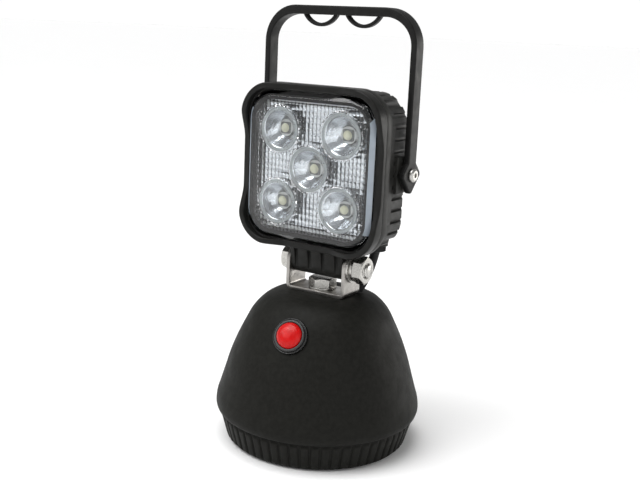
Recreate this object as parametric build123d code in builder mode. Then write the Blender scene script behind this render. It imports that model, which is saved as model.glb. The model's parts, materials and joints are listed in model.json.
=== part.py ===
from build123d import *

import os
from math import cos, radians, sin, tan

os.makedirs("parts", exist_ok=True)

# Portable rechargeable work light.
# Origin: centre of the underside, on the surface the lamp stands on. +Z is up, the lamp faces -Y.

# --- base driving dimensions (mm) ---
base_r = 72.0  # widest radius, just above the seam
base_top_z = 106.6  # flat top that carries the bracket
base_flat_r = 27.0
seam_z = 20.8  # seam between shell and ribbed tray
seam_r = 69.0
foot_r = 62.4  # radius of the tray where it meets the floor
wall = 3.0
tray_z = 0.8  # tray edge hangs just above the floor
rib_count = 60
rib_w = 4.3
post_r = 54.0  # pitch radius of the case screws

# --- magnet foot ---
pad_r = 37.0
pad_t = 1.2
pot_r = 35.0
pot_top_z = 9.0

# --- button on the front of the base ---
button_azimuth = 10.0  # turned from the front towards +X
button_slope = 29.0  # tilt of the button axis above horizontal
button_r = 50.6  # radial place of the button centre on the shell
button_z = 87.5
bezel_r = 12.0
cap_r = 8.8
cap_top = 6.6  # height of the cap over the shell
cap_foot = -6.0
cap_travel = 2.5

# --- bracket and pivot ---
bracket_w = 48.0
bracket_d = 20.5
bracket_t = 2.5
pivot_z = 127.0
bolt_r = 5.0
hex_af = 17.0
washer_t = 1.6
spring_washer_t = 2.4
nut_h = 7.5
head_h = 6.4
running = 0.05  # radial clearance of a turning fit

# --- lamp head ---
head_z = 194.5  # centre of the square head
rim_w = 110.4
rim_r = 23.0
rim_wall = 4.0
rim_front = -27.3
rim_rear = -18.5
flange_rear = -12.5
scoop = 5.0  # how far the rim is scooped between its corners
scoop_half = 38.0
body_w = 105.0
body_r = 21.5
body_rear = 12.0
fin_rear = 22.0
fin_taper = 32.0
cavity_w = 92.0
cavity_rear = 2.0
lens_w = 100.0
lens_r = 20.0
lens_bevel = 3.5  # 45 degree edge round the flat front
lens_gap = 0.3
flange_w = 103.2  # lens flange behind the bezel lip
flange_r = 27.6
lens_front = -26.0
cup_pitch = 48.6
cup_r = 15.0
cup_mouth = -23.2
reflector_front = -16.2
led_board_front = -14.8
led_board_t = 1.6
carrier_t = 2.5
foot_w = 42.6
foot_rad = 9.0
foot_groove = (3.2, 1.3)
fin_pitch = 7.8
fin_gap = 3.6
fin_w = 76.0
fin_deep = 8.0  # depth y where the rear slots end
fin_shallow = 16.0
driver_block = (56.0, 46.0)
notch_front = -3.0
notch_w = 2.4
notch_deep = 3.8

# --- handle ---
handle_y = 9.5
handle_inner = 55.5
handle_t = 4.2
handle_d = 10.4
grip_t = 6.0  # the bar is thicker along the top
handle_pad = 54.5  # half width over the pads that the handle turns on
pad_washer_t = 0.8
handle_top = 301.0
handle_corner = 24.5
screw_r = 2.5
screw_end = 45.0

# --- power lead ---
lead_d = 6.4
gland_recess = 2.9
lead_points = [(31.5, 17.5, 140.2), (28.0, 18.4, 122.8), (20.0, 16.6, 108.2)]


def head_plane(y):
    """Plane at depth y, centred on the head, with its normal towards the front."""
    return Plane(origin=(0, y, head_z), x_dir=(1, 0, 0), z_dir=(0, -1, 0))


def rear_plane(y):
    """Plane at depth y, centred on the head, with its normal towards the rear."""
    return Plane(origin=(0, y, head_z), x_dir=(-1, 0, 0), z_dir=(0, 1, 0))


def side_plane(x, direction=1):
    """Plane at the head's pivot height, with its normal along +X or -X."""
    return Plane(origin=(x, 0, pivot_z), x_dir=(0, direction, 0), z_dir=(direction, 0, 0))


def write(builder, name):
    """Label one finished piece and write it as a STEP file."""
    builder.part.label = name
    export_step(builder.part, f"parts/{name}.step")


# ======================= base =======================

with BuildPart() as base_shell:
    with BuildSketch(Plane.XZ):
        with BuildLine():
            shoulder = Spline(
                (base_r, seam_z + 6.2),
                (base_r - 2.4, 38),
                (base_r - 9.2, 60),
                (base_r - 19.9, 84),
                (base_r - 31.4, 101),
                (base_flat_r, base_top_z),
                tangents=((0, 1), (-1, 0)),
            )
            hem = ThreePointArc((seam_r, seam_z), (base_r - 1.2, seam_z + 2.2), (base_r, seam_z + 6.2))
            Polyline(shoulder @ 1, (0, base_top_z), (0, seam_z), hem @ 0)
        make_face()
    revolve(axis=Axis.Z)
    with BuildSketch(Plane.XZ):
        with BuildLine():
            inner = Spline(
                (base_r - wall, seam_z + 6.2),
                (base_r - 2.4 - wall, 37.5),
                (base_r - 9.2 - wall, 59),
                (base_r - 19.9 - wall, 82.5),
                (base_r - 31.4 - 2, 98.5),
                (base_flat_r - 1, base_top_z - wall),
                tangents=((0, 1), (-1, 0)),
            )
            Polyline(inner @ 1, (0, base_top_z - wall), (0, seam_z), (seam_r - wall, seam_z), inner @ 0)
        make_face()
    revolve(axis=Axis.Z, mode=Mode.SUBTRACT)
    # screw posts, each tied to the wall by a rib
    with BuildSketch(Plane.XY.offset(seam_z)):
        with PolarLocations(post_r, 4, start_angle=45):
            Circle(4)
        with PolarLocations(post_r + 7, 4, start_angle=45):
            Rectangle(12, 3)
    extrude(amount=20)
    with Locations(Plane.XY.offset(seam_z)):
        with PolarLocations(post_r, 4, start_angle=45):
            Cylinder(1.5, 16, align=(Align.CENTER, Align.CENTER, Align.MIN), mode=Mode.SUBTRACT)
    # centre bolt hole and lead grommet hole
    with Locations(Plane.XY.offset(base_top_z)):
        Cylinder(bolt_r, 12, mode=Mode.SUBTRACT)
    with Locations((lead_points[-1][0], lead_points[-1][1], base_top_z)):
        Cylinder(4.2, 12, mode=Mode.SUBTRACT)

button_dir = Vector(
    sin(radians(button_azimuth)) * cos(radians(button_slope)),
    -cos(radians(button_azimuth)) * cos(radians(button_slope)),
    sin(radians(button_slope)),
)
button_point = Vector(
    button_r * sin(radians(button_azimuth)),
    -button_r * cos(radians(button_azimuth)),
    button_z,
)


def button_plane(height):
    """Plane square to the button axis, at a height above the shell surface."""
    return Plane(origin=button_point + button_dir * height, z_dir=button_dir)


socket_azimuth = 180 + button_azimuth
socket_z = 40.0
socket_dir = Vector(sin(radians(socket_azimuth)), -cos(radians(socket_azimuth)), 0)


def socket_plane(radius):
    """Plane square to the charge socket axis, at a radius from the base axis."""
    return Plane(origin=socket_dir * radius + Vector(0, 0, socket_z), z_dir=socket_dir)


with base_shell:
    # seat, hole and inner boss of the button
    with BuildSketch(button_plane(-6.5)):
        Circle(14)
    extrude(amount=4)
    with BuildSketch(button_plane(-2.2)):
        Circle(bezel_r + 0.3)
    extrude(amount=12, mode=Mode.SUBTRACT)
    with BuildSketch(button_plane(-9)):
        Circle(9.5)
    extrude(amount=12, mode=Mode.SUBTRACT)
    # flat seat, hole and inner boss of the charge socket
    with BuildSketch(socket_plane(base_r - 11)):
        Circle(11)
    extrude(amount=6)
    with BuildSketch(socket_plane(base_r - 4.6)):
        Circle(9.3)
    extrude(amount=8, mode=Mode.SUBTRACT)
    with BuildSketch(socket_plane(base_r - 14)):
        Circle(6)
    extrude(amount=16, mode=Mode.SUBTRACT)
write(base_shell, "base_shell")

with BuildPart() as skirt_ribs:
    with BuildSketch(Plane.XY.offset(tray_z + 1.4)):
        with PolarLocations(foot_r + 2, rib_count):
            Rectangle(18, rib_w)
    extrude(amount=seam_z - tray_z - 3.0)
    with BuildSketch(Plane.XZ):
        with BuildLine():
            Polyline(
                (foot_r - 1.4, tray_z),
                (foot_r + 1.0, tray_z),
                (seam_r + 0.4, seam_z - 0.3),
                (seam_r - 2.0, seam_z - 0.3),
                close=True,
            )
        make_face()
    revolve(axis=Axis.Z, mode=Mode.INTERSECT)

with BuildPart() as base_tray:
    with BuildSketch(Plane.XZ):
        with BuildLine():
            Polyline(
                (0, 3),
                (0, 6),
                (foot_r - 5.2, 6),
                (seam_r - 5.6, seam_z - 0.3),
                (seam_r - 0.6, seam_z - 0.3),
                (foot_r, tray_z),
                (foot_r - 3.4, tray_z),
                (foot_r - 4.2, 3),
                close=True,
            )
        make_face()
    revolve(axis=Axis.Z)
    add(skirt_ribs.part)
    # screw bosses
    with BuildSketch(Plane.XY.offset(5)):
        with PolarLocations(post_r, 4, start_angle=45):
            Circle(4.5)
    extrude(amount=seam_z - 5.3)
    with Locations(Plane.XY):
        with PolarLocations(post_r, 4, start_angle=45):
            Cylinder(1.6, 60, mode=Mode.SUBTRACT)
            Cylinder(3.4, 2 * 5.5, mode=Mode.SUBTRACT)
    with Locations((0, 0, 3)):
        Cylinder(pot_r + 0.2, 20, mode=Mode.SUBTRACT)
write(base_tray, "base_tray")

with BuildPart() as magnet_pot:
    with BuildSketch(Plane.XZ):
        with BuildLine():
            Polyline(
                (4, pot_top_z - 2.5),
                (4, pot_top_z),
                (pot_r, pot_top_z),
                (pot_r, 7.6),
                (pot_r + 4.5, 7.6),
                (pot_r + 4.5, 6),
                (pot_r, 6),
                (pot_r, pad_t),
                (pot_r - 3.5, pad_t),
                (pot_r - 3.5, pot_top_z - 2.5),
                close=True,
            )
        make_face()
    revolve(axis=Axis.Z)
write(magnet_pot, "magnet_pot")

with BuildPart() as magnet_ring:
    with BuildSketch(Plane.XY.offset(pad_t)):
        Circle(pot_r - 4.5)
        Circle(12, mode=Mode.SUBTRACT)
    extrude(amount=pot_top_z - 2.5 - pad_t)
write(magnet_ring, "magnet_ring")

with BuildPart() as rubber_foot_pad:
    with BuildSketch():
        Circle(pad_r)
    extrude(amount=pad_t)
    chamfer(rubber_foot_pad.edges().sort_by(Axis.Z)[0], 0.4)
    with BuildSketch(Plane.XY.offset(pad_t)):
        Circle(pad_r)
        Circle(pot_r + 0.25, mode=Mode.SUBTRACT)
    extrude(amount=1.6)
write(rubber_foot_pad, "rubber_foot_pad")

with BuildPart() as case_screws:
    with Locations(Plane.XY.offset(5.5)):
        with PolarLocations(post_r, 4, start_angle=45):
            Cylinder(3.1, 2.2, align=(Align.CENTER, Align.CENTER, Align.MAX))
            Cylinder(1.5, 28, align=(Align.CENTER, Align.CENTER, Align.MIN))
write(case_screws, "case_screws")

# --- battery pack: four cells in a cradle ---
cell_r = 9.2
cell_h = 65.0
cell_z = 20.0
cell_pitch = 20.0

with BuildPart() as battery_cells:
    with Locations((0, 0, cell_z)):
        with GridLocations(cell_pitch, cell_pitch, 2, 2):
            Cylinder(cell_r, cell_h, align=(Align.CENTER, Align.CENTER, Align.MIN))
write(battery_cells, "battery_cells")

with BuildPart() as battery_cradle_lower:
    with BuildSketch(Plane.XY.offset(14)):
        RectangleRounded(46, 46, 11)
    extrude(amount=10)
    with BuildSketch(Plane.XY.offset(14)):
        Rectangle(80, 12)
        Rectangle(12, 80)
    extrude(amount=2.5)
    with BuildSketch(Plane.XY.offset(pot_top_z)):
        with PolarLocations(36, 4):
            Circle(3.4)
    extrude(amount=6)
    with BuildSketch(Plane.XY.offset(cell_z)):
        with GridLocations(cell_pitch, cell_pitch, 2, 2):
            Circle(cell_r)
    extrude(amount=6, mode=Mode.SUBTRACT)
    with BuildSketch(Plane.XY.offset(cell_z - 1)):
        with GridLocations(cell_pitch, 1, 2, 1):
            Rectangle(7, 27)
    extrude(amount=1, mode=Mode.SUBTRACT)
write(battery_cradle_lower, "battery_cradle_lower")

with BuildPart() as battery_cradle_upper:
    with BuildSketch(Plane.XY.offset(cell_z + cell_h - 5)):
        RectangleRounded(46, 46, 11)
    extrude(amount=8)
    with BuildSketch(Plane.XY.offset(cell_z + cell_h - 6)):
        with GridLocations(cell_pitch, cell_pitch, 2, 2):
            Circle(cell_r)
    extrude(amount=6, mode=Mode.SUBTRACT)
    with BuildSketch(Plane.XY.offset(cell_z + cell_h)):
        with GridLocations(1, cell_pitch, 1, 2):
            Rectangle(27, 7)
    extrude(amount=1, mode=Mode.SUBTRACT)
    with Locations((0, 0, cell_z + cell_h + 3)):
        Cylinder(6.5, 4, mode=Mode.SUBTRACT)
write(battery_cradle_upper, "battery_cradle_upper")

with BuildPart() as battery_contacts:
    with BuildSketch(Plane.XY.offset(cell_z - 1)):
        with GridLocations(cell_pitch, 1, 2, 1):
            Rectangle(7, 27)
    extrude(amount=1)
    with BuildSketch(Plane.XY.offset(cell_z + cell_h)):
        with GridLocations(1, cell_pitch, 1, 2):
            Rectangle(27, 7)
    extrude(amount=1)
write(battery_contacts, "battery_contacts")

with BuildPart() as charge_board:
    with Locations((0, 31, 50)):
        Box(40, 1.6, 46)
    with Locations((-10, 31.8, 60), (8, 31.8, 64)):
        Box(9, 5, 8, align=(Align.CENTER, Align.MIN, Align.CENTER))
    with Locations((10, 31.8, 48)):
        Box(12, 7, 12, align=(Align.CENTER, Align.MIN, Align.CENTER))
    with Locations((0, 25.6, 30)):
        Box(6, 9.2, 4)
write(charge_board, "charge_board")

# --- charge socket on the rear of the base ---
with BuildPart() as charge_socket:
    with BuildSketch(socket_plane(base_r - 22)):
        Circle(5.9)
    extrude(amount=17.4)
    with BuildSketch(socket_plane(base_r - 4.6)):
        Circle(8)
    extrude(amount=1.6)
    with BuildSketch(socket_plane(base_r - 16)):
        Circle(3)
    extrude(amount=20, mode=Mode.SUBTRACT)
    with BuildSketch(socket_plane(base_r - 16)):
        Circle(1.05)
    extrude(amount=9)
write(charge_socket, "charge_socket")

with BuildPart() as socket_cap:
    with BuildSketch(socket_plane(base_r - 3.0)):
        Circle(9)
    extrude(amount=2.2)
    fillet(socket_cap.edges().sort_by(SortBy.DISTANCE)[-1:], 0.8)
    with BuildSketch(socket_plane(base_r - 6.5)):
        Circle(3 - running)
    extrude(amount=3.5)
    with BuildSketch(socket_plane(base_r - 0.8)):
        with Locations((0, 6.5)):
            RectangleRounded(6, 3, 1.2)
    extrude(amount=1.2)
write(socket_cap, "socket_cap")

# --- push button ---
with BuildPart() as button_bezel:
    with BuildSketch(button_plane(-2.2)):
        Circle(bezel_r)
    extrude(amount=4.6)
    chamfer(button_bezel.edges().sort_by(SortBy.DISTANCE)[-1:], 1.6)
    with BuildSketch(button_plane(-16)):
        Circle(9.4)
    extrude(amount=14)
    with BuildSketch(button_plane(-14)):
        Circle(cap_r + 0.1)
    extrude(amount=20, mode=Mode.SUBTRACT)
    with BuildSketch(button_plane(-17)):
        Circle(6.5)
    extrude(amount=4, mode=Mode.SUBTRACT)
write(button_bezel, "button_bezel")

with BuildPart() as button_nut:
    with BuildSketch(button_plane(-9.6)):
        RegularPolygon(11.5, 6, major_radius=False)
        Circle(9.5, mode=Mode.SUBTRACT)
    extrude(amount=3)
write(button_nut, "button_nut")

with BuildPart() as power_button_cap:
    with BuildSketch(button_plane(cap_foot)):
        Circle(cap_r)
    extrude(amount=cap_top - cap_foot)
    with BuildSketch(button_plane(cap_foot)):
        Circle(6.6)
    extrude(amount=5, mode=Mode.SUBTRACT)
    fillet(power_button_cap.edges().sort_by(SortBy.DISTANCE)[-1:], 3.0)
    with BuildSketch(button_plane(-11)):
        Circle(2.2)
    extrude(amount=10.5)
write(power_button_cap, "power_button_cap")

with BuildPart() as switch_body:
    with BuildSketch(button_plane(-27)):
        Circle(6.4)
    extrude(amount=13.2)
    with BuildSketch(button_plane(-16)):
        Circle(2.35)
    extrude(amount=2.4, mode=Mode.SUBTRACT)
    with BuildSketch(button_plane(-32)):
        with Locations((-3, 0), (3, 0)):
            Rectangle(0.8, 3)
    extrude(amount=5.2)
write(switch_body, "switch_body")

spring_coils = 4
spring_wire_r = 0.4
spring_coil_r = 4.6
spring_seat = -13.0 + spring_wire_r
spring_reach = -1.0 - spring_wire_r
with BuildPart() as button_spring:
    with BuildLine() as coil:
        Helix(
            pitch=(spring_reach - spring_seat) / spring_coils,
            height=spring_reach - spring_seat,
            radius=spring_coil_r,
            center=button_point + button_dir * spring_seat,
            direction=button_dir,
        )
    with BuildSketch(Plane(origin=coil.line @ 0, z_dir=coil.line % 0)):
        Circle(spring_wire_r)
    sweep(path=coil.line, is_frenet=True)
write(button_spring, "button_spring")

# ======================= bracket and its bolts =======================

bracket_floor = base_top_z + bracket_t

with BuildPart() as u_bracket:
    with BuildSketch(Plane.XZ.offset(-bracket_d / 2)):
        with BuildLine():
            ear_top = pivot_z + bracket_d / 2
            half = bracket_w / 2
            Polyline(
                (-half, ear_top),
                (-half, base_top_z),
                (half, base_top_z),
                (half, ear_top),
                (half - bracket_t, ear_top),
                (half - bracket_t, bracket_floor),
                (-half + bracket_t, bracket_floor),
                (-half + bracket_t, ear_top),
                close=True,
            )
        make_face()
    extrude(amount=bracket_d)
    bends = u_bracket.edges().filter_by(Axis.Y).group_by(Axis.Z)
    fillet(bends[0], bracket_t + 1.5)
    fillet(
        u_bracket.edges().filter_by(Axis.Y).filter_by(lambda e: abs(e.center().Z - bracket_floor) < 0.1),
        1.5,
    )
    tips = u_bracket.edges().filter_by(Axis.X).filter_by(lambda e: abs(e.center().Z - ear_top) < 0.1)
    fillet(tips, bracket_d / 2 - 0.3)
    with Locations(side_plane(0)):
        Cylinder(bolt_r + running, 80, mode=Mode.SUBTRACT)
    with Locations((0, 0, base_top_z)):
        Cylinder(bolt_r + running, 12, mode=Mode.SUBTRACT)
write(u_bracket, "u_bracket")

with BuildPart() as centre_washer:
    with BuildSketch(Plane.XY.offset(bracket_floor)):
        Circle(9.6)
        Circle(bolt_r + 0.2, mode=Mode.SUBTRACT)
    extrude(amount=washer_t)
write(centre_washer, "centre_washer")

plate_t = 3.0
plate_z = base_top_z - wall - plate_t

with BuildPart() as centre_bolt:
    with BuildSketch(Plane.XY.offset(bracket_floor + washer_t)):
        RegularPolygon(hex_af / 2, 6, major_radius=False)
    extrude(amount=head_h)
    chamfer(centre_bolt.faces().sort_by(Axis.Z)[-1].edges(), 0.6)
    with BuildSketch(Plane.XY.offset(bracket_floor + washer_t)):
        Circle(bolt_r)
    extrude(amount=-(bracket_floor + washer_t - plate_z + nut_h + 1.5))
write(centre_bolt, "centre_bolt")

with BuildPart() as stiffener_plate:
    with BuildSketch(Plane.XY.offset(plate_z)):
        Circle(15.4)
        Circle(bolt_r, mode=Mode.SUBTRACT)
    extrude(amount=plate_t)
write(stiffener_plate, "stiffener_plate")

with BuildPart() as centre_nut:
    with BuildSketch(Plane.XY.offset(plate_z)):
        RegularPolygon(hex_af / 2, 6, major_radius=False)
        Circle(bolt_r, mode=Mode.SUBTRACT)
    extrude(amount=-nut_h)
write(centre_nut, "centre_nut")

ear = bracket_w / 2
flat_washer_end = ear + washer_t
spring_washer_end = flat_washer_end + spring_washer_t
nut_end = spring_washer_end + nut_h

with BuildPart() as pivot_bolt:
    with BuildSketch(side_plane(-ear)):
        RegularPolygon(hex_af / 2, 6, major_radius=False, rotation=30)
    extrude(amount=-head_h)
    chamfer(pivot_bolt.faces().sort_by(Axis.X)[0].edges(), 0.6)
    with BuildSketch(side_plane(-ear)):
        Circle(bolt_r)
    extrude(amount=ear + nut_end + 1.6)
    chamfer(pivot_bolt.edges().sort_by(Axis.X)[-1], 0.8)
write(pivot_bolt, "pivot_bolt")

with BuildPart() as pivot_flat_washer:
    with BuildSketch(side_plane(ear)):
        Circle(10)
        Circle(bolt_r, mode=Mode.SUBTRACT)
    extrude(amount=flat_washer_end - ear)
write(pivot_flat_washer, "pivot_flat_washer")

with BuildPart() as pivot_spring_washer:
    with BuildSketch(side_plane(flat_washer_end)):
        Circle(8.6)
        Circle(bolt_r, mode=Mode.SUBTRACT)
        with Locations((7, 0)):
            Rectangle(8, 0.9, rotation=20, mode=Mode.SUBTRACT)
    extrude(amount=spring_washer_end - flat_washer_end)
write(pivot_spring_washer, "pivot_spring_washer")

with BuildPart() as pivot_nut:
    with BuildSketch(side_plane(spring_washer_end)):
        RegularPolygon(hex_af / 2, 6, major_radius=False, rotation=20)
    extrude(amount=nut_h)
    chamfer(pivot_nut.faces().sort_by(Axis.X)[-1].edges(), 0.6)
    with Locations(side_plane(0)):
        Cylinder(bolt_r, 200, mode=Mode.SUBTRACT)
write(pivot_nut, "pivot_nut")

# ======================= lamp head =======================

foot_top = head_z - body_w / 2 + 2
gland_x, gland_y = lead_points[0][0], lead_points[0][1]
gland_z = head_z - body_w / 2
corner_screw = 45.5
pocket_w = flange_w + 0.8
pocket_r = flange_r + 0.4
pocket_deep = 2.6

with BuildPart() as lamp_housing:
    with BuildSketch(head_plane(body_rear)):
        RectangleRounded(body_w, body_w, body_r)
    extrude(amount=body_rear - flange_rear)
    with BuildSketch(rear_plane(body_rear)):
        RectangleRounded(body_w, body_w, body_r)
    extrude(amount=fin_rear - body_rear, taper=fin_taper)
    # level cooling slots in the back, shallower over the driver block in the middle
    with BuildSketch(rear_plane(fin_deep)):
        with GridLocations(1, fin_pitch, 1, 11):
            Rectangle(fin_w, fin_gap)
        Rectangle(*driver_block, mode=Mode.SUBTRACT)
    extrude(amount=30, mode=Mode.SUBTRACT)
    with BuildSketch(rear_plane(fin_shallow)):
        with GridLocations(1, fin_pitch, 1, 5):
            Rectangle(driver_block[0], fin_gap)
    extrude(amount=30, mode=Mode.SUBTRACT)
    # short cooling notches around the edge
    arc_centre = body_w / 2 - body_r
    with BuildSketch(rear_plane(notch_front)):
        for turn in (0, 90, 180, 270):
            with Locations(Rotation(0, 0, turn)):
                with Locations((body_w / 2, 0)):
                    with GridLocations(1, fin_pitch, 1, 9):
                        Rectangle(2 * notch_deep, notch_w)
                with Locations((arc_centre, arc_centre)):
                    with PolarLocations(body_r, 3, start_angle=22.5, angular_range=45, endpoint=True):
                        Rectangle(2 * notch_deep, notch_w)
    extrude(amount=60, mode=Mode.SUBTRACT)
    # front flange that the bezel sits on
    with BuildSketch(head_plane(flange_rear)):
        RectangleRounded(rim_w, rim_w, rim_r)
    extrude(amount=flange_rear - rim_rear)
    # solid pads behind the handle screws
    for side in (-1, 1):
        with Locations((side * (handle_pad - 7), handle_y, head_z)):
            Box(14, 22, 24)
    # foot between the bracket ears
    with BuildSketch(side_plane(-foot_w / 2)):
        Circle(foot_rad)
        with BuildLine():
            Polyline(
                (-foot_rad, 0),
                (foot_rad, 0),
                (foot_rad + 3, foot_top - pivot_z),
                (-foot_rad - 3, foot_top - pivot_z),
                close=True,
            )
        make_face()
    extrude(amount=foot_w)
    with BuildSketch(Plane.XY.offset(pivot_z - 4)):
        with Locations((0, -foot_rad - foot_groove[1])):
            with GridLocations(foot_w / 4 + 0.3, 1, 4, 1):
                Rectangle(foot_groove[0], 5)
    extrude(amount=13.5, mode=Mode.SUBTRACT)
    # boss of the cable gland
    with Locations((gland_x, gland_y, gland_z)):
        Cylinder(8, 16, align=(Align.CENTER, Align.CENTER, Align.MIN))
    # inside
    with BuildSketch(head_plane(cavity_rear)):
        RectangleRounded(cavity_w, cavity_w, 16)
    extrude(amount=60, mode=Mode.SUBTRACT)
    with BuildSketch(head_plane(rim_rear + 1)):
        RectangleRounded(pocket_w, pocket_w, pocket_r)
    extrude(amount=10, mode=Mode.SUBTRACT)
    with BuildSketch(head_plane(12)):
        Rectangle(46, 36)
    extrude(amount=14, mode=Mode.SUBTRACT)
    # bores: bush, gland thread, corner screws, handle screws, vent
    with Locations(side_plane(0)):
        Cylinder(6.5, 60, mode=Mode.SUBTRACT)
    with Locations((gland_x, gland_y, gland_z)):
        Cylinder(4.5, 24, mode=Mode.SUBTRACT)
    with BuildSketch(rear_plane(-30)):
        with GridLocations(2 * corner_screw, 2 * corner_screw, 2, 2):
            Circle(1.6)
    extrude(amount=60, mode=Mode.SUBTRACT)
    with BuildSketch(rear_plane(flange_rear - 2)):
        with GridLocations(2 * corner_screw, 2 * corner_screw, 2, 2):
            Circle(3.2)
    extrude(amount=60, mode=Mode.SUBTRACT)
    for side in (-1, 1):
        with Locations(Plane(origin=(side * handle_pad, handle_y, head_z), z_dir=(-side, 0, 0))):
            Cylinder(
                screw_r,
                handle_pad - screw_end,
                align=(Align.CENTER, Align.CENTER, Align.MIN),
                mode=Mode.SUBTRACT,
            )
    with BuildSketch(rear_plane(11)):
        with Locations((16, -10)):
            Circle(3)
    extrude(amount=20, mode=Mode.SUBTRACT)
write(lamp_housing, "lamp_housing")

with BuildPart() as pivot_bush:
    with BuildSketch(side_plane(-foot_w / 2)):
        Circle(6.5)
        Circle(bolt_r + running, mode=Mode.SUBTRACT)
    extrude(amount=foot_w)
write(pivot_bush, "pivot_bush")

with BuildPart() as front_bezel:
    with BuildSketch(head_plane(rim_rear)):
        RectangleRounded(rim_w, rim_w, rim_r)
        RectangleRounded(pocket_w, pocket_w, pocket_r, mode=Mode.SUBTRACT)
    extrude(amount=pocket_deep)
    with BuildSketch(head_plane(rim_rear - pocket_deep)):
        RectangleRounded(rim_w, rim_w, rim_r)
        RectangleRounded(
            lens_w + 2 * lens_gap, lens_w + 2 * lens_gap, lens_r + lens_gap, mode=Mode.SUBTRACT
        )
    extrude(amount=4.0 - pocket_deep)
    with BuildSketch(head_plane(rim_rear - 4.0)):
        RectangleRounded(rim_w, rim_w, rim_r)
        RectangleRounded(rim_w - 2 * rim_wall, rim_w - 2 * rim_wall, rim_r - rim_wall, mode=Mode.SUBTRACT)
    extrude(amount=rim_rear - 4.0 - rim_front)
    # the front edge dips between the corners on all four sides
    scoop_r = (scoop_half**2 + scoop**2) / (2 * scoop)
    scoop_centre = rim_front + scoop - scoop_r
    with BuildSketch(Plane.YZ.offset(-60)):
        with Locations((scoop_centre, head_z)):
            Circle(scoop_r)
    extrude(amount=120, mode=Mode.SUBTRACT)
    with BuildSketch(Plane.XY.offset(head_z - 60)):
        with Locations((0, scoop_centre)):
            Circle(scoop_r)
    extrude(amount=120, mode=Mode.SUBTRACT)
    with BuildSketch(head_plane(rim_rear)):
        with GridLocations(2 * corner_screw, 2 * corner_screw, 2, 2):
            Circle(1.25)
    extrude(amount=pocket_deep, mode=Mode.SUBTRACT)
write(front_bezel, "front_bezel")

with BuildPart() as lens:
    with BuildSketch(head_plane(rim_rear - 0.4)):
        RectangleRounded(flange_w, flange_w, flange_r)
    extrude(amount=2.2)
    with BuildSketch(head_plane(rim_rear - 2.6)):
        RectangleRounded(lens_w, lens_w, lens_r)
    extrude(amount=rim_rear - 2.6 - lens_front - lens_bevel)
    with BuildSketch(head_plane(lens_front + lens_bevel)):
        RectangleRounded(lens_w, lens_w, lens_r)
    extrude(amount=lens_bevel, taper=45)
    with BuildSketch(head_plane(rim_rear - 0.4)):
        RectangleRounded(lens_w - 5.6, lens_w - 5.6, 16)
    extrude(amount=rim_rear - 0.4 - lens_front - 2.6, mode=Mode.SUBTRACT)
write(lens, "lens")

with BuildPart() as lens_gasket:
    with BuildSketch(head_plane(rim_rear + 1)):
        RectangleRounded(flange_w - 0.8, flange_w - 0.8, flange_r - 0.4)
        RectangleRounded(cavity_w, cavity_w, 16, mode=Mode.SUBTRACT)
    extrude(amount=1.4)
write(lens_gasket, "lens_gasket")

with BuildPart() as bezel_screws:
    with BuildSketch(head_plane(flange_rear - 2)):
        with GridLocations(2 * corner_screw, 2 * corner_screw, 2, 2):
            Circle(1.25)
    extrude(amount=6.4)
    with BuildSketch(rear_plane(flange_rear - 2)):
        with GridLocations(2 * corner_screw, 2 * corner_screw, 2, 2):
            Circle(2.8)
            RegularPolygon(1.25, 6, mode=Mode.SUBTRACT)
    extrude(amount=2.4)
write(bezel_screws, "bezel_screws")

cup_places = [(0, 0)] + [(x * cup_pitch / 2, z * cup_pitch / 2) for x in (-1, 1) for z in (-1, 1)]
cup_floor_r = 5.6
reflector_rear = led_board_front - 0.2
board_rear = led_board_front + led_board_t
carrier_rear = board_rear + carrier_t

with BuildPart() as reflector:
    with BuildSketch(head_plane(reflector_rear)):
        RectangleRounded(80, 80, 8)
    extrude(amount=reflector_rear - reflector_front)
    for x, z in cup_places:
        axis = Axis((x, 0, head_z + z), (0, 1, 0))
        section = Plane(origin=(x, 0, head_z + z), x_dir=(1, 0, 0), z_dir=(0, 0, 1))
        with BuildSketch(section):
            with BuildLine():
                outside = Spline(
                    (cup_floor_r + 1.2, reflector_rear),
                    (cup_r - 3.2, reflector_front - 2.2),
                    (cup_r, cup_mouth),
                )
                Polyline(outside @ 1, (0, cup_mouth), (0, reflector_rear), outside @ 0)
            make_face()
        revolve(axis=axis)
        with BuildSketch(section):
            with BuildLine():
                inside = Spline(
                    (cup_floor_r, reflector_rear + 0.1),
                    (cup_r - 4.4, reflector_front - 2.2),
                    (cup_r - 1.2, cup_mouth - 0.1),
                )
                Polyline(inside @ 1, (0, cup_mouth - 0.1), (0, reflector_rear + 0.1), inside @ 0)
            make_face()
        revolve(axis=axis, mode=Mode.SUBTRACT)
write(reflector, "reflector")

with BuildPart() as led_board:
    with BuildSketch(head_plane(board_rear)):
        RectangleRounded(82, 82, 4)
    extrude(amount=led_board_t)
write(led_board, "led_board")

with BuildPart() as led_carrier:
    with BuildSketch(head_plane(carrier_rear)):
        RectangleRounded(84, 84, 5)
    extrude(amount=carrier_t)
    with BuildSketch(head_plane(cavity_rear)):
        with GridLocations(68, 68, 2, 2):
            Circle(5)
    extrude(amount=cavity_rear - carrier_rear)
    # wire hole
    with BuildSketch(head_plane(carrier_rear)):
        with Locations((20, 0)):
            Circle(3)
    extrude(amount=carrier_t, mode=Mode.SUBTRACT)
write(led_carrier, "led_carrier")

with BuildPart() as led_emitters:
    with BuildSketch(head_plane(led_board_front)):
        with Locations(*cup_places):
            RectangleRounded(7, 7, 1)
    extrude(amount=1.2)
    with BuildSketch(head_plane(led_board_front - 1.2)):
        with Locations(*cup_places):
            Circle(2.8)
    extrude(amount=2.2, taper=22)
write(led_emitters, "led_emitters")

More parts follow.
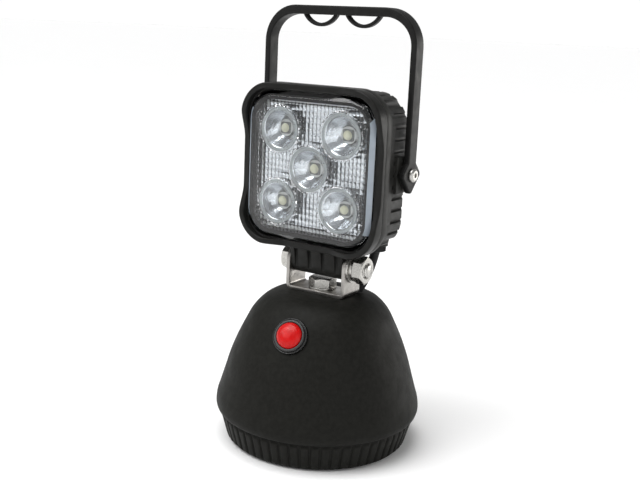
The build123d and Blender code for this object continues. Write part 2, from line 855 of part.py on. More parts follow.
with BuildPart() as driver_board:
    with Locations((0, 9.2, head_z)):
        Box(42, 1.6, 32)
    with Locations((-10, 8.4, head_z + 4), (9, 8.4, head_z - 6)):
        Box(11, 5, 9, align=(Align.CENTER, Align.MAX, Align.CENTER))
    with Locations((8, 8.4, head_z + 8)):
        Box(6, 3.4, 5, align=(Align.CENTER, Align.MAX, Align.CENTER))
    with Locations((-17, 10, head_z - 12), (17, 10, head_z + 12)):
        Box(4, 2, 4, align=(Align.CENTER, Align.MIN, Align.CENTER))
write(driver_board, "driver_board")

with BuildPart() as vent_plug:
    with BuildSketch(rear_plane(12)):
        with Locations((16, -10)):
            Circle(3)
    extrude(amount=3)
    with BuildSketch(rear_plane(15)):
        with Locations((16, -10)):
            Circle(1.6)
    extrude(amount=1.5)
write(vent_plug, "vent_plug")

with BuildPart() as cable_gland:
    with Locations((gland_x, gland_y, gland_z)):
        Cylinder(4.5, 10, align=(Align.CENTER, Align.CENTER, Align.MIN))
    with BuildSketch(Plane(origin=(gland_x, gland_y, gland_z), z_dir=(0, 0, -1))):
        RegularPolygon(6.6, 6, major_radius=False)
    extrude(amount=4)
    with Locations((gland_x, gland_y, gland_z - 4)):
        Cylinder(lead_d / 2 + 0.8, 2 * gland_recess, mode=Mode.SUBTRACT)
write(cable_gland, "cable_gland")

# ======================= handle =======================

handle_outer = handle_inner + handle_t
hoop_span = 27.4
hoop_drop = 7.8
hoop_wire = 2.4
hoop_d = 4.2
hoop_offset = 16.8
hoop_r = ((hoop_span / 2) ** 2 + hoop_drop**2) / (2 * hoop_drop)
bar_under = handle_top - head_z - grip_t

with BuildPart() as bail_handle:
    with BuildSketch(head_plane(handle_y + handle_d / 2)):
        with Locations((0, (handle_top - head_z) / 2)):
            Rectangle(2 * handle_outer, handle_top - head_z)
        fillet(vertices().group_by(Axis.Y)[-1], handle_corner)
        with BuildSketch(mode=Mode.SUBTRACT):
            with Locations((0, bar_under / 2)):
                Rectangle(2 * handle_inner, bar_under)
            fillet(vertices().group_by(Axis.Y)[-1], handle_corner - handle_t)
    extrude(amount=handle_d)
    # two half hoops under the grip
    with BuildSketch(head_plane(handle_y + hoop_d / 2)):
        with Locations(
            (-hoop_offset, bar_under - hoop_drop + hoop_r),
            (hoop_offset, bar_under - hoop_drop + hoop_r),
        ):
            Circle(hoop_r)
            Circle(hoop_r - hoop_wire, mode=Mode.SUBTRACT)
        with Locations((0, bar_under + 20)):
            Rectangle(100, 40 - 0.6, mode=Mode.SUBTRACT)
    extrude(amount=hoop_d)
    # lozenge end plates
    for side in (-1, 1):
        start = handle_inner if side > 0 else -handle_outer
        with BuildSketch(Plane.YZ.offset(start)):
            with Locations((handle_y, head_z)):
                Polygon((-12.5, 0), (0, -13.5), (12.5, 0), (0, 13.5))
            fillet(vertices(), 3.5)
        extrude(amount=handle_t)
    with Locations(Plane(origin=(0, handle_y, head_z), z_dir=(1, 0, 0))):
        Cylinder(screw_r + running, 200, mode=Mode.SUBTRACT)
write(bail_handle, "bail_handle")

with BuildPart() as handle_screws:
    for side in (-1, 1):
        with BuildSketch(Plane(origin=(side * screw_end, handle_y, head_z), z_dir=(side, 0, 0))):
            Circle(screw_r)
        extrude(amount=handle_outer + 0.3 - screw_end)
        with BuildSketch(Plane(origin=(side * (handle_outer + 0.2), handle_y, head_z), z_dir=(side, 0, 0))):
            Circle(4.6)
        extrude(amount=3.4, taper=20)
        with BuildSketch(Plane(origin=(side * (handle_outer + 1.8), handle_y, head_z), z_dir=(side, 0, 0))):
            RegularPolygon(1.5, 6, major_radius=False)
        extrude(amount=4, mode=Mode.SUBTRACT)
write(handle_screws, "handle_screws")

with BuildPart() as handle_washers:
    for side in (-1, 1):
        with BuildSketch(Plane(origin=(side * handle_pad, handle_y, head_z), z_dir=(side, 0, 0))):
            Circle(7)
            Circle(screw_r, mode=Mode.SUBTRACT)
        extrude(amount=pad_washer_t)
write(handle_washers, "handle_washers")

# ======================= lead =======================

lead_route = [Vector(*p) for p in lead_points]
lead_radii = []
for before, point, after in zip(lead_route, lead_route[1:], lead_route[2:]):
    turn = (point - before).get_angle(after - point)
    shorter = min((point - before).length, (after - point).length)
    lead_radii.append(0.45 * shorter / tan(radians(turn / 2)))
print("lead bend radii", [round(r, 1) for r in lead_radii])

with BuildPart() as power_lead:
    with BuildLine() as lead_path:
        FilletPolyline(*lead_points, radius=lead_radii)
    with BuildSketch(Plane(origin=lead_path.line @ 0, z_dir=lead_path.line % 0)):
        Circle(lead_d / 2)
    sweep(path=lead_path.line)
write(power_lead, "power_lead")

lead_end = Vector(*lead_points[-1])
lead_aim = (lead_route[-1] - lead_route[-2]).normalized()
with BuildPart() as lead_grommet:
    with Locations((lead_end.X, lead_end.Y, base_top_z)):
        Cylinder(4.2, 5.0, align=(Align.CENTER, Align.CENTER, Align.MAX))
        Cylinder(5.4, 2.0, align=(Align.CENTER, Align.CENTER, Align.MIN))
    split(bisect_by=Plane(origin=lead_end, z_dir=-lead_aim), keep=Keep.BOTTOM)
write(lead_grommet, "lead_grommet")
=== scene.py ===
import json
from math import asin, atan2, cos, pi, radians, sin, sqrt, tan

import bmesh
import bpy
from mathutils import Matrix, Vector


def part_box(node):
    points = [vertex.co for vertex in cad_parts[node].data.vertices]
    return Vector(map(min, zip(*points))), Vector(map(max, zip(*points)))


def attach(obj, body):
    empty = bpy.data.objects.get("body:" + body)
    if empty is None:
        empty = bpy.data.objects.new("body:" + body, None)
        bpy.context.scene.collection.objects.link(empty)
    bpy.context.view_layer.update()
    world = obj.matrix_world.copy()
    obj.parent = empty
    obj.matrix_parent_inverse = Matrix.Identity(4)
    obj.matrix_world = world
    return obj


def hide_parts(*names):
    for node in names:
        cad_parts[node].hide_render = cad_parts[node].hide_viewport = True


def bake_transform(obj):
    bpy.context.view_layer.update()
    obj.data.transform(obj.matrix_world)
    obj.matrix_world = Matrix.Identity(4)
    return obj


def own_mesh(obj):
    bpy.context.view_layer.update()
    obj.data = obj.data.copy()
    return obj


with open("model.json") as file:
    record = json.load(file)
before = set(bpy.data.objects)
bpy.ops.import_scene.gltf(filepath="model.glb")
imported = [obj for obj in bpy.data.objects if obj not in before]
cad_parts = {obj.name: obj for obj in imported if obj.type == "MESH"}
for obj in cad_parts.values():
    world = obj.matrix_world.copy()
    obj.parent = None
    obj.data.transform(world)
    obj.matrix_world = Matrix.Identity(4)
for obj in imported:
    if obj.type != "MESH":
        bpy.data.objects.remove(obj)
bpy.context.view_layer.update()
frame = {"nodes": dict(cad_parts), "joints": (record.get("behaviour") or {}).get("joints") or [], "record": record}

MM = 0.001
X, Y, Z = Vector((1, 0, 0)), Vector((0, 1, 0)), Vector((0, 0, 1))

# ---------------------------------------------------------------- measures read from the frame


def middle(node):
    """Centre of a CAD node's box."""
    low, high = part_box(node)
    return (low + high) / 2


rim_low, rim_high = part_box("front_bezel")
HEAD = Vector((0, 0, (rim_low.z + rim_high.z) / 2))
RIM_HALF = (rim_high.x - rim_low.x) / 2
RIM_FRONT, RIM_REAR = rim_low.y, rim_high.y
LENS_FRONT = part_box("lens")[0].y
REFLECTOR_LOW, REFLECTOR_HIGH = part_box("reflector")
PIVOT = Vector((0, 0, middle("pivot_bush").z))
SHELL_LOW, SHELL_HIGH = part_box("base_shell")
TRAY_LOW, TRAY_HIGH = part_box("base_tray")
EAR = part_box("u_bracket")[1].x


def joint(name):
    """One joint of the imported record."""
    return next(j for j in frame["joints"] if j["name"] == name)


BODY = {node: body for body, nodes in frame["record"]["behaviour"]["bodies"].items() for node in nodes}
SLOT = {part["node"]: part["material_slot"] for part in frame["record"]["subparts"]}

BUTTON_OUT = -Vector(joint("power_button_press")["axis"]).normalized()
SOCKET_OUT = Vector(joint("socket_cover_pull")["axis"]).normalized()
AZIMUTH = atan2(BUTTON_OUT.x, -BUTTON_OUT.y)

# ---------------------------------------------------------------- small mesh tools


def link(name, mesh):
    """A new object in the scene holding this mesh."""
    piece = bpy.data.objects.new(name, mesh)
    bpy.context.scene.collection.objects.link(piece)
    return piece


def to_object(bm, name, material, sharp=38):
    """Turns a bmesh into a smooth-shaded object whose edges over the sharp angle stay crisp."""
    bmesh.ops.recalc_face_normals(bm, faces=bm.faces)
    for face in bm.faces:
        face.smooth = True
    for edge in bm.edges:
        if len(edge.link_faces) == 2 and edge.calc_face_angle(0) > radians(sharp):
            edge.smooth = False
    mesh = bpy.data.meshes.new(name)
    bm.to_mesh(mesh)
    bm.free()
    mesh.materials.append(material)
    return link(name, mesh)


def soften(points, radius, steps=4, closed=False):
    """A 2-D outline with each corner rounded by an arc of about this radius."""
    out, count = [], len(points)
    for i, here in enumerate(points):
        if not closed and i in (0, count - 1):
            out.append(Vector(here))
            continue
        p, a, b = Vector(here), Vector(points[i - 1]), Vector(points[(i + 1) % count])
        to_a, to_b = a - p, b - p
        reach = min(radius, to_a.length * 0.45, to_b.length * 0.45)
        start, end = p + to_a.normalized() * reach, p + to_b.normalized() * reach
        for k in range(steps + 1):
            t = k / steps
            out.append(start * (1 - t) ** 2 + p * 2 * t * (1 - t) + end * t**2)
    return out


def add_rings(bm, rings, loop=False, cap=False):
    """Skins rings of points with quads. A ring of one point closes to that point."""
    made = [[bm.verts.new(p) for p in ring] for ring in rings]
    pairs = list(zip(made, made[1:])) + ([(made[-1], made[0])] if loop else [])
    for one, two in pairs:
        n = max(len(one), len(two))
        for i in range(n):
            j = (i + 1) % n
            corner = [one[i % len(one)], one[j % len(one)], two[j % len(two)], two[i % len(two)]]
            corner = [v for k, v in enumerate(corner) if v not in corner[:k]]
            if len(corner) > 2:
                bm.faces.new(corner)
    if cap:
        for ring in (made[0], made[-1]):
            if len(ring) > 2:
                bm.faces.new(ring)
    return made


def frame_at(origin, axis):
    """Matrix whose local Z runs along axis from origin."""
    turn = Vector(axis).normalized().to_track_quat("Z", "Y").to_matrix().to_4x4()
    return Matrix.Translation(origin) @ turn


def scaled(outline):
    """An outline given in mm, in metres."""
    return [(r * MM, h * MM) for r, h in outline]


def lathe_rings(outline, place, segments):
    """Rings of a turned shape: outline holds (radius, height) along the local Z of place."""
    rings = []
    for r, h in outline:
        if r < 1e-7:
            rings.append([place @ Vector((0, 0, h))])
            continue
        turn = [2 * pi * k / segments for k in range(segments)]
        rings.append([place @ Vector((r * cos(a), r * sin(a), h)) for a in turn])
    return rings


def turned(name, outline, place, material, segments=96, loop=False, ease=0.0, sharp=38):
    """A turned piece. An outline with a hole through it closes on itself with loop."""
    if ease:
        outline = soften(outline, ease, closed=loop)
    bm = bmesh.new()
    add_rings(bm, lathe_rings(outline, place, segments), loop=loop)
    return to_object(bm, name, material, sharp)


def rounded_square(half, corner, count):
    """Points (x, z) and outward normals evenly round a square with rounded corners."""
    straight = half - corner
    side = 2 * straight
    quarter = side + corner * pi / 2
    found = []
    for k in range(count):
        s = 4 * quarter * k / count
        turn, s = divmod(s, quarter)
        if s < side:
            point, normal = Vector((half, -straight + s)), Vector((1, 0))
        else:
            a = (s - side) / corner
            normal = Vector((cos(a), sin(a)))
            point = Vector((straight, straight)) + normal * corner
        spin = Matrix.Rotation(turn * pi / 2, 2)
        found.append((spin @ point, spin @ normal))
    return found


def head_point(flat, y):
    """A point of the head from its place (x, z) about the head's centre and its depth y."""
    return Vector((flat.x, y, HEAD.z + flat.y))


def stand_in(piece, *nodes):
    """Lets a finished piece stand for these CAD nodes, with the first one's body."""
    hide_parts(*nodes)
    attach(piece, BODY[nodes[0]])
    return piece


def eased(node, width, segments=2, angle=32):
    """A copy of a CAD node with its sharp edges rounded over. It stands for the node."""
    bm = bmesh.new()
    bm.from_mesh(frame["nodes"][node].data)
    bmesh.ops.remove_doubles(bm, verts=bm.verts, dist=0.002 * MM)
    bmesh.ops.dissolve_limit(bm, angle_limit=radians(0.6), verts=bm.verts, edges=bm.edges)
    edges = [e for e in bm.edges if len(e.link_faces) == 2 and e.calc_face_angle(0) > radians(angle)]
    bmesh.ops.bevel(
        bm, geom=edges, offset=width, segments=segments, profile=0.5, affect="EDGES",
        clamp_overlap=True, loop_slide=True,
    )
    return stand_in(to_object(bm, node + "_body", finish_of(node), sharp=30), node)


def combine(piece, other, operation):
    """Unites another closed piece with this one, or cuts it out. The other one is used up."""
    step = piece.modifiers.new("combine", "BOOLEAN")
    step.operation = operation
    step.solver = "EXACT"
    step.object = other
    graph = bpy.context.evaluated_depsgraph_get()
    mesh = bpy.data.meshes.new_from_object(piece.evaluated_get(graph))
    piece.modifiers.clear()
    piece.data = mesh
    mesh.set_sharp_from_angle(angle=radians(38))
    bpy.data.objects.remove(other)


def cut(piece, cutter):
    """Takes the cutter's volume out of a piece."""
    combine(piece, cutter, "DIFFERENCE")


# ---------------------------------------------------------------- materials


class Finish:
    """A Principled material built up from a few procedural layers."""

    def __init__(self, name, base, roughness, metallic=0.0, **sockets):
        self.material = bpy.data.materials.new(name)
        self.material.use_nodes = True
        self.tree = self.material.node_tree
        self.shader = self.tree.nodes["Principled BSDF"]
        self.set("Base Color", (*base, 1))
        self.set("Roughness", roughness)
        self.set("Metallic", metallic)
        for key, value in sockets.items():
            self.set(key.replace("_", " "), value)
        self.base, self.roughness = base, roughness
        self.coords = self.node("ShaderNodeTexCoord").outputs["Object"]

    def node(self, kind, **values):
        made = self.tree.nodes.new(kind)
        for key, value in values.items():
            setattr(made, key, value)
        return made

    def set(self, socket, value):
        self.shader.inputs[socket].default_value = value

    def join(self, output, target):
        self.tree.links.new(output, target)

    def noise(self, size, detail=3.0, stretch=(1, 1, 1), rough=0.5):
        """Noise whose features are about this size in metres."""
        scale = self.node("ShaderNodeMapping")
        scale.inputs["Scale"].default_value = stretch
        self.join(self.coords, scale.inputs["Vector"])
        made = self.node("ShaderNodeTexNoise")
        made.inputs["Scale"].default_value = 1 / size
        made.inputs["Detail"].default_value = detail
        made.inputs["Roughness"].default_value = rough
        self.join(scale.outputs["Vector"], made.inputs["Vector"])
        return made.outputs["Fac"]

    def spread(self, source, low, high, start=0.3, end=0.7):
        """Maps a 0-1 texture to a range."""
        made = self.node("ShaderNodeMapRange")
        for key, value in zip(("From Min", "From Max", "To Min", "To Max"), (start, end, low, high)):
            made.inputs[key].default_value = value
        self.join(source, made.inputs["Value"])
        return made.outputs["Result"]

    def tint(self, source, other, amount=1.0, start=0.35, end=0.65):
        """Varies the base colour towards another one where the texture is high."""
        mix = self.node("ShaderNodeMix", data_type="RGBA")
        mix.inputs["A"].default_value = (*self.base, 1)
        mix.inputs["B"].default_value = (*other, 1)
        self.join(self.spread(source, 0, amount, start, end), mix.inputs["Factor"])
        self.join(mix.outputs["Result"], self.shader.inputs["Base Color"])
        return self

    def scuff(self, source, low, high, start=0.3, end=0.7):
        """Varies the roughness with a texture."""
        self.join(self.spread(source, low, high, start, end), self.shader.inputs["Roughness"])
        return self

    def relief(self, source, depth, strength=1.0):
        """Bump of this depth in metres, on top of any relief so far."""
        bump = self.node("ShaderNodeBump")
        bump.inputs["Distance"].default_value = depth
        bump.inputs["Strength"].default_value = strength
        self.join(source, bump.inputs["Height"])
        before = self.shader.inputs["Normal"]
        if before.links:
            self.join(before.links[0].from_socket, bump.inputs["Normal"])
        self.join(bump.outputs["Normal"], before)
        return self

    def soft_edges(self, radius):
        """Rounds off the shading of hard edges by this radius."""
        bevel = self.node("ShaderNodeBevel", samples=4)
        bevel.inputs["Radius"].default_value = radius
        self.join(bevel.outputs["Normal"], self.shader.inputs["Normal"])
        return self


def moulded_plastic(name, base, roughness, grain=0.5 * MM, depth=0.05 * MM):
    """Black moulded plastic with a spark-eroded texture."""
    f = Finish(name, base, roughness, Specular_IOR_Level=0.09)
    lighter = tuple(c * 1.4 + 0.001 for c in base)
    f.tint(f.noise(3 * MM, 6), lighter, 0.8)
    f.scuff(f.noise(9 * MM, 3), roughness - 0.06, roughness + 0.06)
    f.relief(f.noise(grain, 4, rough=0.6), depth)
    f.relief(f.noise(2.2 * MM, 3), depth * 1.2)
    return f.material


def powder_coat(name, base, roughness, depth=0.03 * MM):
    """Satin powder coat on cast metal, with a faint orange peel."""
    f = Finish(name, base, roughness, Specular_IOR_Level=0.15)
    lighter = tuple(c * 1.4 + 0.001 for c in base)
    f.soft_edges(0.35 * MM)
    f.tint(f.noise(5 * MM, 7), lighter, 0.8)
    f.scuff(f.noise(6 * MM, 4), roughness - 0.07, roughness + 0.08)
    f.relief(f.noise(0.9 * MM, 3), depth)
    return f.material


def steel(name, base, roughness, stretch=(1, 1, 12), depth=0.01 * MM):
    """Stainless steel with a fine grain along one direction."""
    f = Finish(name, base, roughness, metallic=1.0)
    darker = tuple(c * 0.72 for c in base)
    f.soft_edges(0.2 * MM)
    f.tint(f.noise(4 * MM, 6), darker, 0.7)
    f.scuff(f.noise(1.5 * MM, 5, stretch), roughness - 0.1, roughness + 0.12)
    f.relief(f.noise(0.5 * MM, 4, stretch), depth)
    return f.material


def rubber(name, base=(0.011, 0.011, 0.011), roughness=0.62):
    """Matt black rubber."""
    f = Finish(name, base, roughness, Specular_IOR_Level=0.25)
    f.tint(f.noise(3 * MM, 5), tuple(c * 1.6 for c in base), 0.6)
    f.scuff(f.noise(4 * MM, 3), roughness - 0.07, roughness + 0.08)
    f.relief(f.noise(0.4 * MM, 3), 0.02 * MM)
    return f.material


def glossy(name, base, roughness, other=None, **sockets):
    """Polished plastic with faint flow marks."""
    f = Finish(name, base, roughness, **sockets)
    f.tint(f.noise(6 * MM, 4), other or tuple(c * 0.85 for c in base), 0.6)
    f.scuff(f.noise(5 * MM, 4), roughness * 0.8, roughness * 1.3)
    f.relief(f.noise(5 * MM, 2), 0.015 * MM)
    return f.material


def clear_plastic(name):
    """Clear polycarbonate, a little blue."""
    f = Finish(name, (0.965, 0.985, 1.0), 0.03, Transmission_Weight=1.0, IOR=1.5)
    f.scuff(f.noise(8 * MM, 3), 0.01, 0.05)
    return f.material


def frosted_painted_light(name):
    """Polycarbonate with a fine ground surface, its light bluish-grey colour painted light: it stands in for the
    light seen in the lens's upright side walls.
    """
    f = Finish(name, (0.42, 0.48, 0.55), 0.42, Transmission_Weight=0.30, IOR=1.5)
    f.tint(f.noise(7 * MM, 4), (0.34, 0.40, 0.46), 0.6)
    f.scuff(f.noise(3 * MM, 4), 0.34, 0.5)
    f.relief(f.noise(0.6 * MM, 3), 0.01 * MM)
    return f.material


def chrome(name, base, roughness):
    """Vacuum-metallised reflector, slightly wavy."""
    f = Finish(name, base, roughness, metallic=1.0)
    f.tint(f.noise(12 * MM, 3), tuple(c * 0.85 for c in base), 0.8)
    f.scuff(f.noise(6 * MM, 3), roughness - 0.06, roughness + 0.08)
    f.relief(f.noise(2.6 * MM, 2), 0.22 * MM)
    return f.material


RED_GLOSS = {"Specular_IOR_Level": 0.25}
FINISHES = {
    "base_plastic": moulded_plastic("base_plastic", (0.0072, 0.0072, 0.0060), 0.56),
    "tray_plastic": moulded_plastic("tray_plastic", (0.0078, 0.0078, 0.0066), 0.54),
    "cradle_plastic": moulded_plastic("cradle_plastic", (0.06, 0.06, 0.06), 0.5),
    "socket_plastic": moulded_plastic("socket_plastic", (0.02, 0.02, 0.02), 0.45),
    "switch_plastic": moulded_plastic("switch_plastic", (0.05, 0.05, 0.05), 0.45),
    "gland_black": moulded_plastic("gland_black", (0.014, 0.014, 0.014), 0.4),
    "nylon_white": moulded_plastic("nylon_white", (0.45, 0.45, 0.42), 0.45),
    "magnet": moulded_plastic("magnet", (0.05, 0.05, 0.055), 0.6),
    "black_rubber": rubber("black_rubber"),
    "housing_black": powder_coat("housing_black", (0.014, 0.014, 0.0128), 0.44),
    "bezel_black": powder_coat("bezel_black", (0.0070, 0.0070, 0.0064), 0.36),
    "handle_black": powder_coat("handle_black", (0.0060, 0.0060, 0.0058), 0.42),
    "stainless": steel("stainless", (0.40, 0.385, 0.365), 0.34, stretch=(10, 1, 1)),
    "fastener_steel": steel("fastener_steel", (0.52, 0.51, 0.485), 0.30, stretch=(1, 1, 1)),
    "zinc_steel": steel("zinc_steel", (0.55, 0.56, 0.55), 0.42, stretch=(1, 1, 1)),
    "spring_steel": steel("spring_steel", (0.5, 0.5, 0.5), 0.35, stretch=(1, 1, 1)),
    "bush_bronze": steel("bush_bronze", (0.55, 0.40, 0.20), 0.4, stretch=(1, 1, 1)),
    "nickel_strip": steel("nickel_strip", (0.66, 0.64, 0.58), 0.3, stretch=(1, 1, 1)),
    "red_button": glossy("red_button", (0.50, 0.002, 0.002), 0.28, (0.36, 0.002, 0.002), **RED_GLOSS),
    "button_bezel": glossy("button_bezel", (0.012, 0.012, 0.012), 0.3),
    "cell_wrap": glossy("cell_wrap", (0.04, 0.16, 0.42), 0.3),
    "circuit_board": glossy("circuit_board", (0.02, 0.12, 0.04), 0.35),
    "led_board_white": glossy("led_board_white", (0.75, 0.76, 0.74), 0.4),
    "carrier_aluminium": steel("carrier_aluminium", (0.66, 0.67, 0.68), 0.4, stretch=(1, 1, 1)),
    "led_phosphor": glossy("led_phosphor", (0.74, 0.72, 0.50), 0.2, (0.80, 0.79, 0.62)),
    "clear_lens": clear_plastic("clear_lens"),
    "reflector_chrome": chrome("reflector_chrome", (0.62, 0.64, 0.66), 0.16),
}
CERAMIC = glossy("ceramic", (0.16, 0.165, 0.15), 0.4)
CUP_EDGE = chrome("cup_edge", (0.30, 0.32, 0.32), 0.30)
# painted light: a light bluish-grey for the lit side walls of the lens, on a ground surface
FROSTED_PAINTED_LIGHT = frosted_painted_light("frosted_edge_painted_light")
# painted shade: a flat black for the dark line seen at the lens's edge
LENS_EDGE_SHADE = rubber("lens_edge_shade_paint", (0.006, 0.006, 0.006), 0.5)


def finish_of(node):
    """The material of a CAD node's slot."""
    return FINISHES[SLOT[node]]


for node, cad_object in frame["nodes"].items():
    for holder in cad_object.material_slots:
        holder.material = finish_of(node)

# ---------------------------------------------------------------- camera, light, floor
# The camera comes first. It stands to the lamp's right and above, and leans a little.

VIEW_AZIMUTH, VIEW_ELEVATION, VIEW_ROLL = radians(33.05), radians(12.5), radians(2.6)
VIEW_DISTANCE, VIEW_LENS = 0.666, 54.1
AIM = Vector((-0.0026, -0.0017, 0.1429))

level = Vector((cos(VIEW_AZIMUTH), sin(VIEW_AZIMUTH), 0))
ahead = Vector((-sin(VIEW_AZIMUTH), cos(VIEW_AZIMUTH), 0))
look = ahead * cos(VIEW_ELEVATION) - Z * sin(VIEW_ELEVATION)
camera_data = bpy.data.cameras.new("camera")
camera_data.lens, camera_data.sensor_width = VIEW_LENS, 36
camera_data.clip_start = 0.01
camera = bpy.data.objects.new("camera", camera_data)
bpy.context.scene.collection.objects.link(camera)
camera.location = AIM - look * VIEW_DISTANCE
rise = level.cross(look)
camera.rotation_mode = "QUATERNION"
across = level * cos(VIEW_ROLL) + rise * sin(VIEW_ROLL)
upward = rise * cos(VIEW_ROLL) - level * sin(VIEW_ROLL)
camera.rotation_quaternion = Matrix((across, upward, -look)).transposed().to_quaternion()
bpy.context.scene.camera = camera
bpy.context.scene.view_settings.view_transform = "Standard"


def area_light(name, place, aim, size, power, tone=(1, 1, 1)):
    """A soft square light aimed at a point."""
    data = bpy.data.lights.new(name, "AREA")
    data.shape, data.size, data.energy, data.color = "SQUARE", size, power, tone
    lamp = bpy.data.objects.new(name, data)
    bpy.context.scene.collection.objects.link(lamp)
    lamp.location = place
    lamp.rotation_euler = (Vector(aim) - Vector(place)).to_track_quat("-Z", "Y").to_euler()


area_light("key_light", (-0.9, -1.3, 1.5), HEAD, 1.2, 16)
area_light("fill_light", (1.5, -0.8, 0.7), HEAD, 1.0, 3.5)
area_light("rear_light", (1.1, 1.5, 0.30), HEAD, 0.8, 9, (1.0, 0.98, 0.94))

sun_data = bpy.data.lights.new("ceiling", "SUN")
sun_data.energy, sun_data.angle = 2.6, radians(50)
ceiling = bpy.data.objects.new("ceiling", sun_data)
bpy.context.scene.collection.objects.link(ceiling)
ceiling.rotation_euler = Vector((0.15, 0.25, -1)).to_track_quat("-Z", "Y").to_euler()


def studio_world(overhead, horizon):
    """A room that is bright at floor level and dimmer overhead."""
    room = bpy.data.worlds.new("studio")
    room.use_nodes = True
    nodes, links = room.node_tree.nodes, room.node_tree.links
    direction = nodes.new("ShaderNodeTexCoord").outputs["Generated"]
    split = nodes.new("ShaderNodeSeparateXYZ")
    links.new(direction, split.inputs["Vector"])
    ramp = nodes.new("ShaderNodeMapRange")
    ramp.interpolation_type = "SMOOTHSTEP"
    for key, value in zip(("From Min", "From Max", "To Min", "To Max"), (0.04, 0.35, horizon, overhead)):
        ramp.inputs[key].default_value = value
    links.new(split.outputs["Z"], ramp.inputs["Value"])
    links.new(ramp.outputs["Result"], nodes["Background"].inputs["Strength"])
    nodes["Background"].inputs["Color"].default_value = (1.0, 1.0, 1.0, 1)
    return room


bpy.context.scene.world = studio_world(0.32, 1.02)

floor_finish = Finish("floor_finish", (0.90, 0.90, 0.90), 0.7, Specular_IOR_Level=0.1)
floor_finish.tint(floor_finish.noise(0.3, 3), (0.89, 0.89, 0.89), 0.5)
bm = bmesh.new()
bmesh.ops.create_grid(bm, x_segments=8, y_segments=8, size=40)
floor = to_object(bm, "floor", floor_finish.material)

# ---------------------------------------------------------------- base: shell and ribbed tray

WALL = 3.0 * MM
SEAM = SHELL_LOW.z
BELL = [  # radius and height of the shell's outline in mm, from the seam up
    (69.0, SEAM / MM),
    (70.6, SEAM / MM + 1.2),
    (71.6, SEAM / MM + 3.4),
    (71.98, SEAM / MM + 6.2),
    (71.3, 32.5),
    (69.6, 38.0),
    (66.6, 48.0),
    (62.8, 60.0),
    (57.9, 72.0),
    (52.1, 84.0),
    (46.8, 94.0),
    (40.6, 101.0),
    (34.5, 104.8),
    (27.0, SHELL_HIGH.z / MM),
]
CORNER_SWELL = 0.035  # how much further the shoulders reach at the four soft corners
SWELL_FOOT, SWELL_RISE, SWELL_FADE = 45 * MM, 45 * MM, 4 * MM  # where it starts, builds up and ends


def smooth_outline(points, steps):
    """Points along a curve through an outline (Catmull-Rom)."""
    p = [Vector(q) for q in points]
    p = [p[0] * 2 - p[1], *p, p[-1] * 2 - p[-2]]
    out = []
    for a, b, c, d in zip(p, p[1:], p[2:], p[3:]):
        for k in range(steps):
            t = k / steps
            square = (a * 2 - b * 5 + c * 4 - d) * t**2
            cube = (b * 3 - a - c * 3 + d) * t**3
            out.append((b * 2 + (c - a) * t + square + cube) / 2)
    return [*out, p[-2]]


def bell_ring(r, z, inward=0.0, count=256):
    """One level of the shell, round at the bottom and softly four-cornered at its shoulders."""
    rise = min(max((z - SWELL_FOOT) / SWELL_RISE, 0), 1)
    fade = min(max((SHELL_HIGH.z - z) / SWELL_FADE, 0), 1)
    swell = CORNER_SWELL * (rise**2 * (3 - 2 * rise)) * fade
    ring = []
    for k in range(count):
        a = 2 * pi * k / count
        reach = (r - inward) * (1 + swell * (0.5 - 0.5 * cos(4 * (a - AZIMUTH))))
        ring.append(Vector((reach * cos(a), reach * sin(a), z)))
    return ring


outer = [Vector(q) * MM for q in smooth_outline(BELL, 7)]
BOLT_R = 5.0 * MM
bm = bmesh.new()
rings = [bell_ring(q.x, q.y) for q in outer]
rings += [bell_ring(r * MM, SHELL_HIGH.z) for r in (20, 12)]
rings += [bell_ring(BOLT_R, SHELL_HIGH.z), bell_ring(BOLT_R, SHELL_HIGH.z - WALL)]
inner = [q for q in outer if q.y > SEAM + WALL and q.x > 29 * MM]
rings += [bell_ring(q.x, min(q.y, SHELL_HIGH.z - 0.4 * MM) - WALL * 0.6, WALL) for q in reversed(inner)]
rings += [bell_ring(69.0 * MM, SEAM, WALL)]
add_rings(bm, rings, loop=True)
shell = to_object(bm, "shell_body", finish_of("base_shell"))

BUTTON_R, BUTTON_Z = 50.6 * MM, 87.5 * MM
BUTTON = Vector((sin(AZIMUTH) * BUTTON_R, -cos(AZIMUTH) * BUTTON_R, BUTTON_Z))
button_place = frame_at(BUTTON, BUTTON_OUT)
SOCKET_R, SOCKET_Z = 72 * MM, 40 * MM
SOCKET = SOCKET_OUT * SOCKET_R + Z * SOCKET_Z
socket_place = frame_at(SOCKET, SOCKET_OUT)
GROMMET = middle("lead_grommet")


def cutter(outline, place, segments=72):
    """A closed turned shape to cut with."""
    return turned("cutter", scaled(outline), place, CERAMIC, segments)


cut(shell, cutter([(0, -14), (9.45, -14), (9.45, -2.2), (12.3, -2.2), (12.3, 9), (0, 9)], button_place))
cut(shell, cutter([(0, -14), (6, -14), (6, -4.6), (9.3, -4.6), (9.3, 5), (0, 5)], socket_place))
top_place = Matrix.Translation((GROMMET.x, GROMMET.y, SHELL_HIGH.z))
cut(shell, cutter([(0, -9), (4.2, -9), (4.2, 4), (0, 4)], top_place))
stand_in(shell, "base_shell")

RIBS, RIB_STEPS = 60, 14
FOOT_R, HEM_R = 62.4 * MM, TRAY_HIGH.x - 1.0 * MM
RIB_DEPTH = 1.1 * MM
POT_R, POST_R = 35.2 * MM, 54 * MM  # recess of the magnet's pot, pitch radius of the case screws
TRAY_FLOOR, TRAY_UNDER = 6 * MM, 3 * MM


def skirt_ring(r, z, ribbed=0.0, count=RIBS * RIB_STEPS):
    """One level of the skirt. The ribs are broad, with narrow grooves between them."""
    ring = []
    for k in range(count):
        across = (k % RIB_STEPS) / RIB_STEPS - 0.5
        bump = max(0.0, 1 - (abs(across) / 0.41) ** 5) ** 0.6
        a = 2 * pi * k / count
        reach = r + ribbed * RIB_DEPTH * bump
        ring.append(Vector((reach * cos(a), reach * sin(a), z)))
    return ring


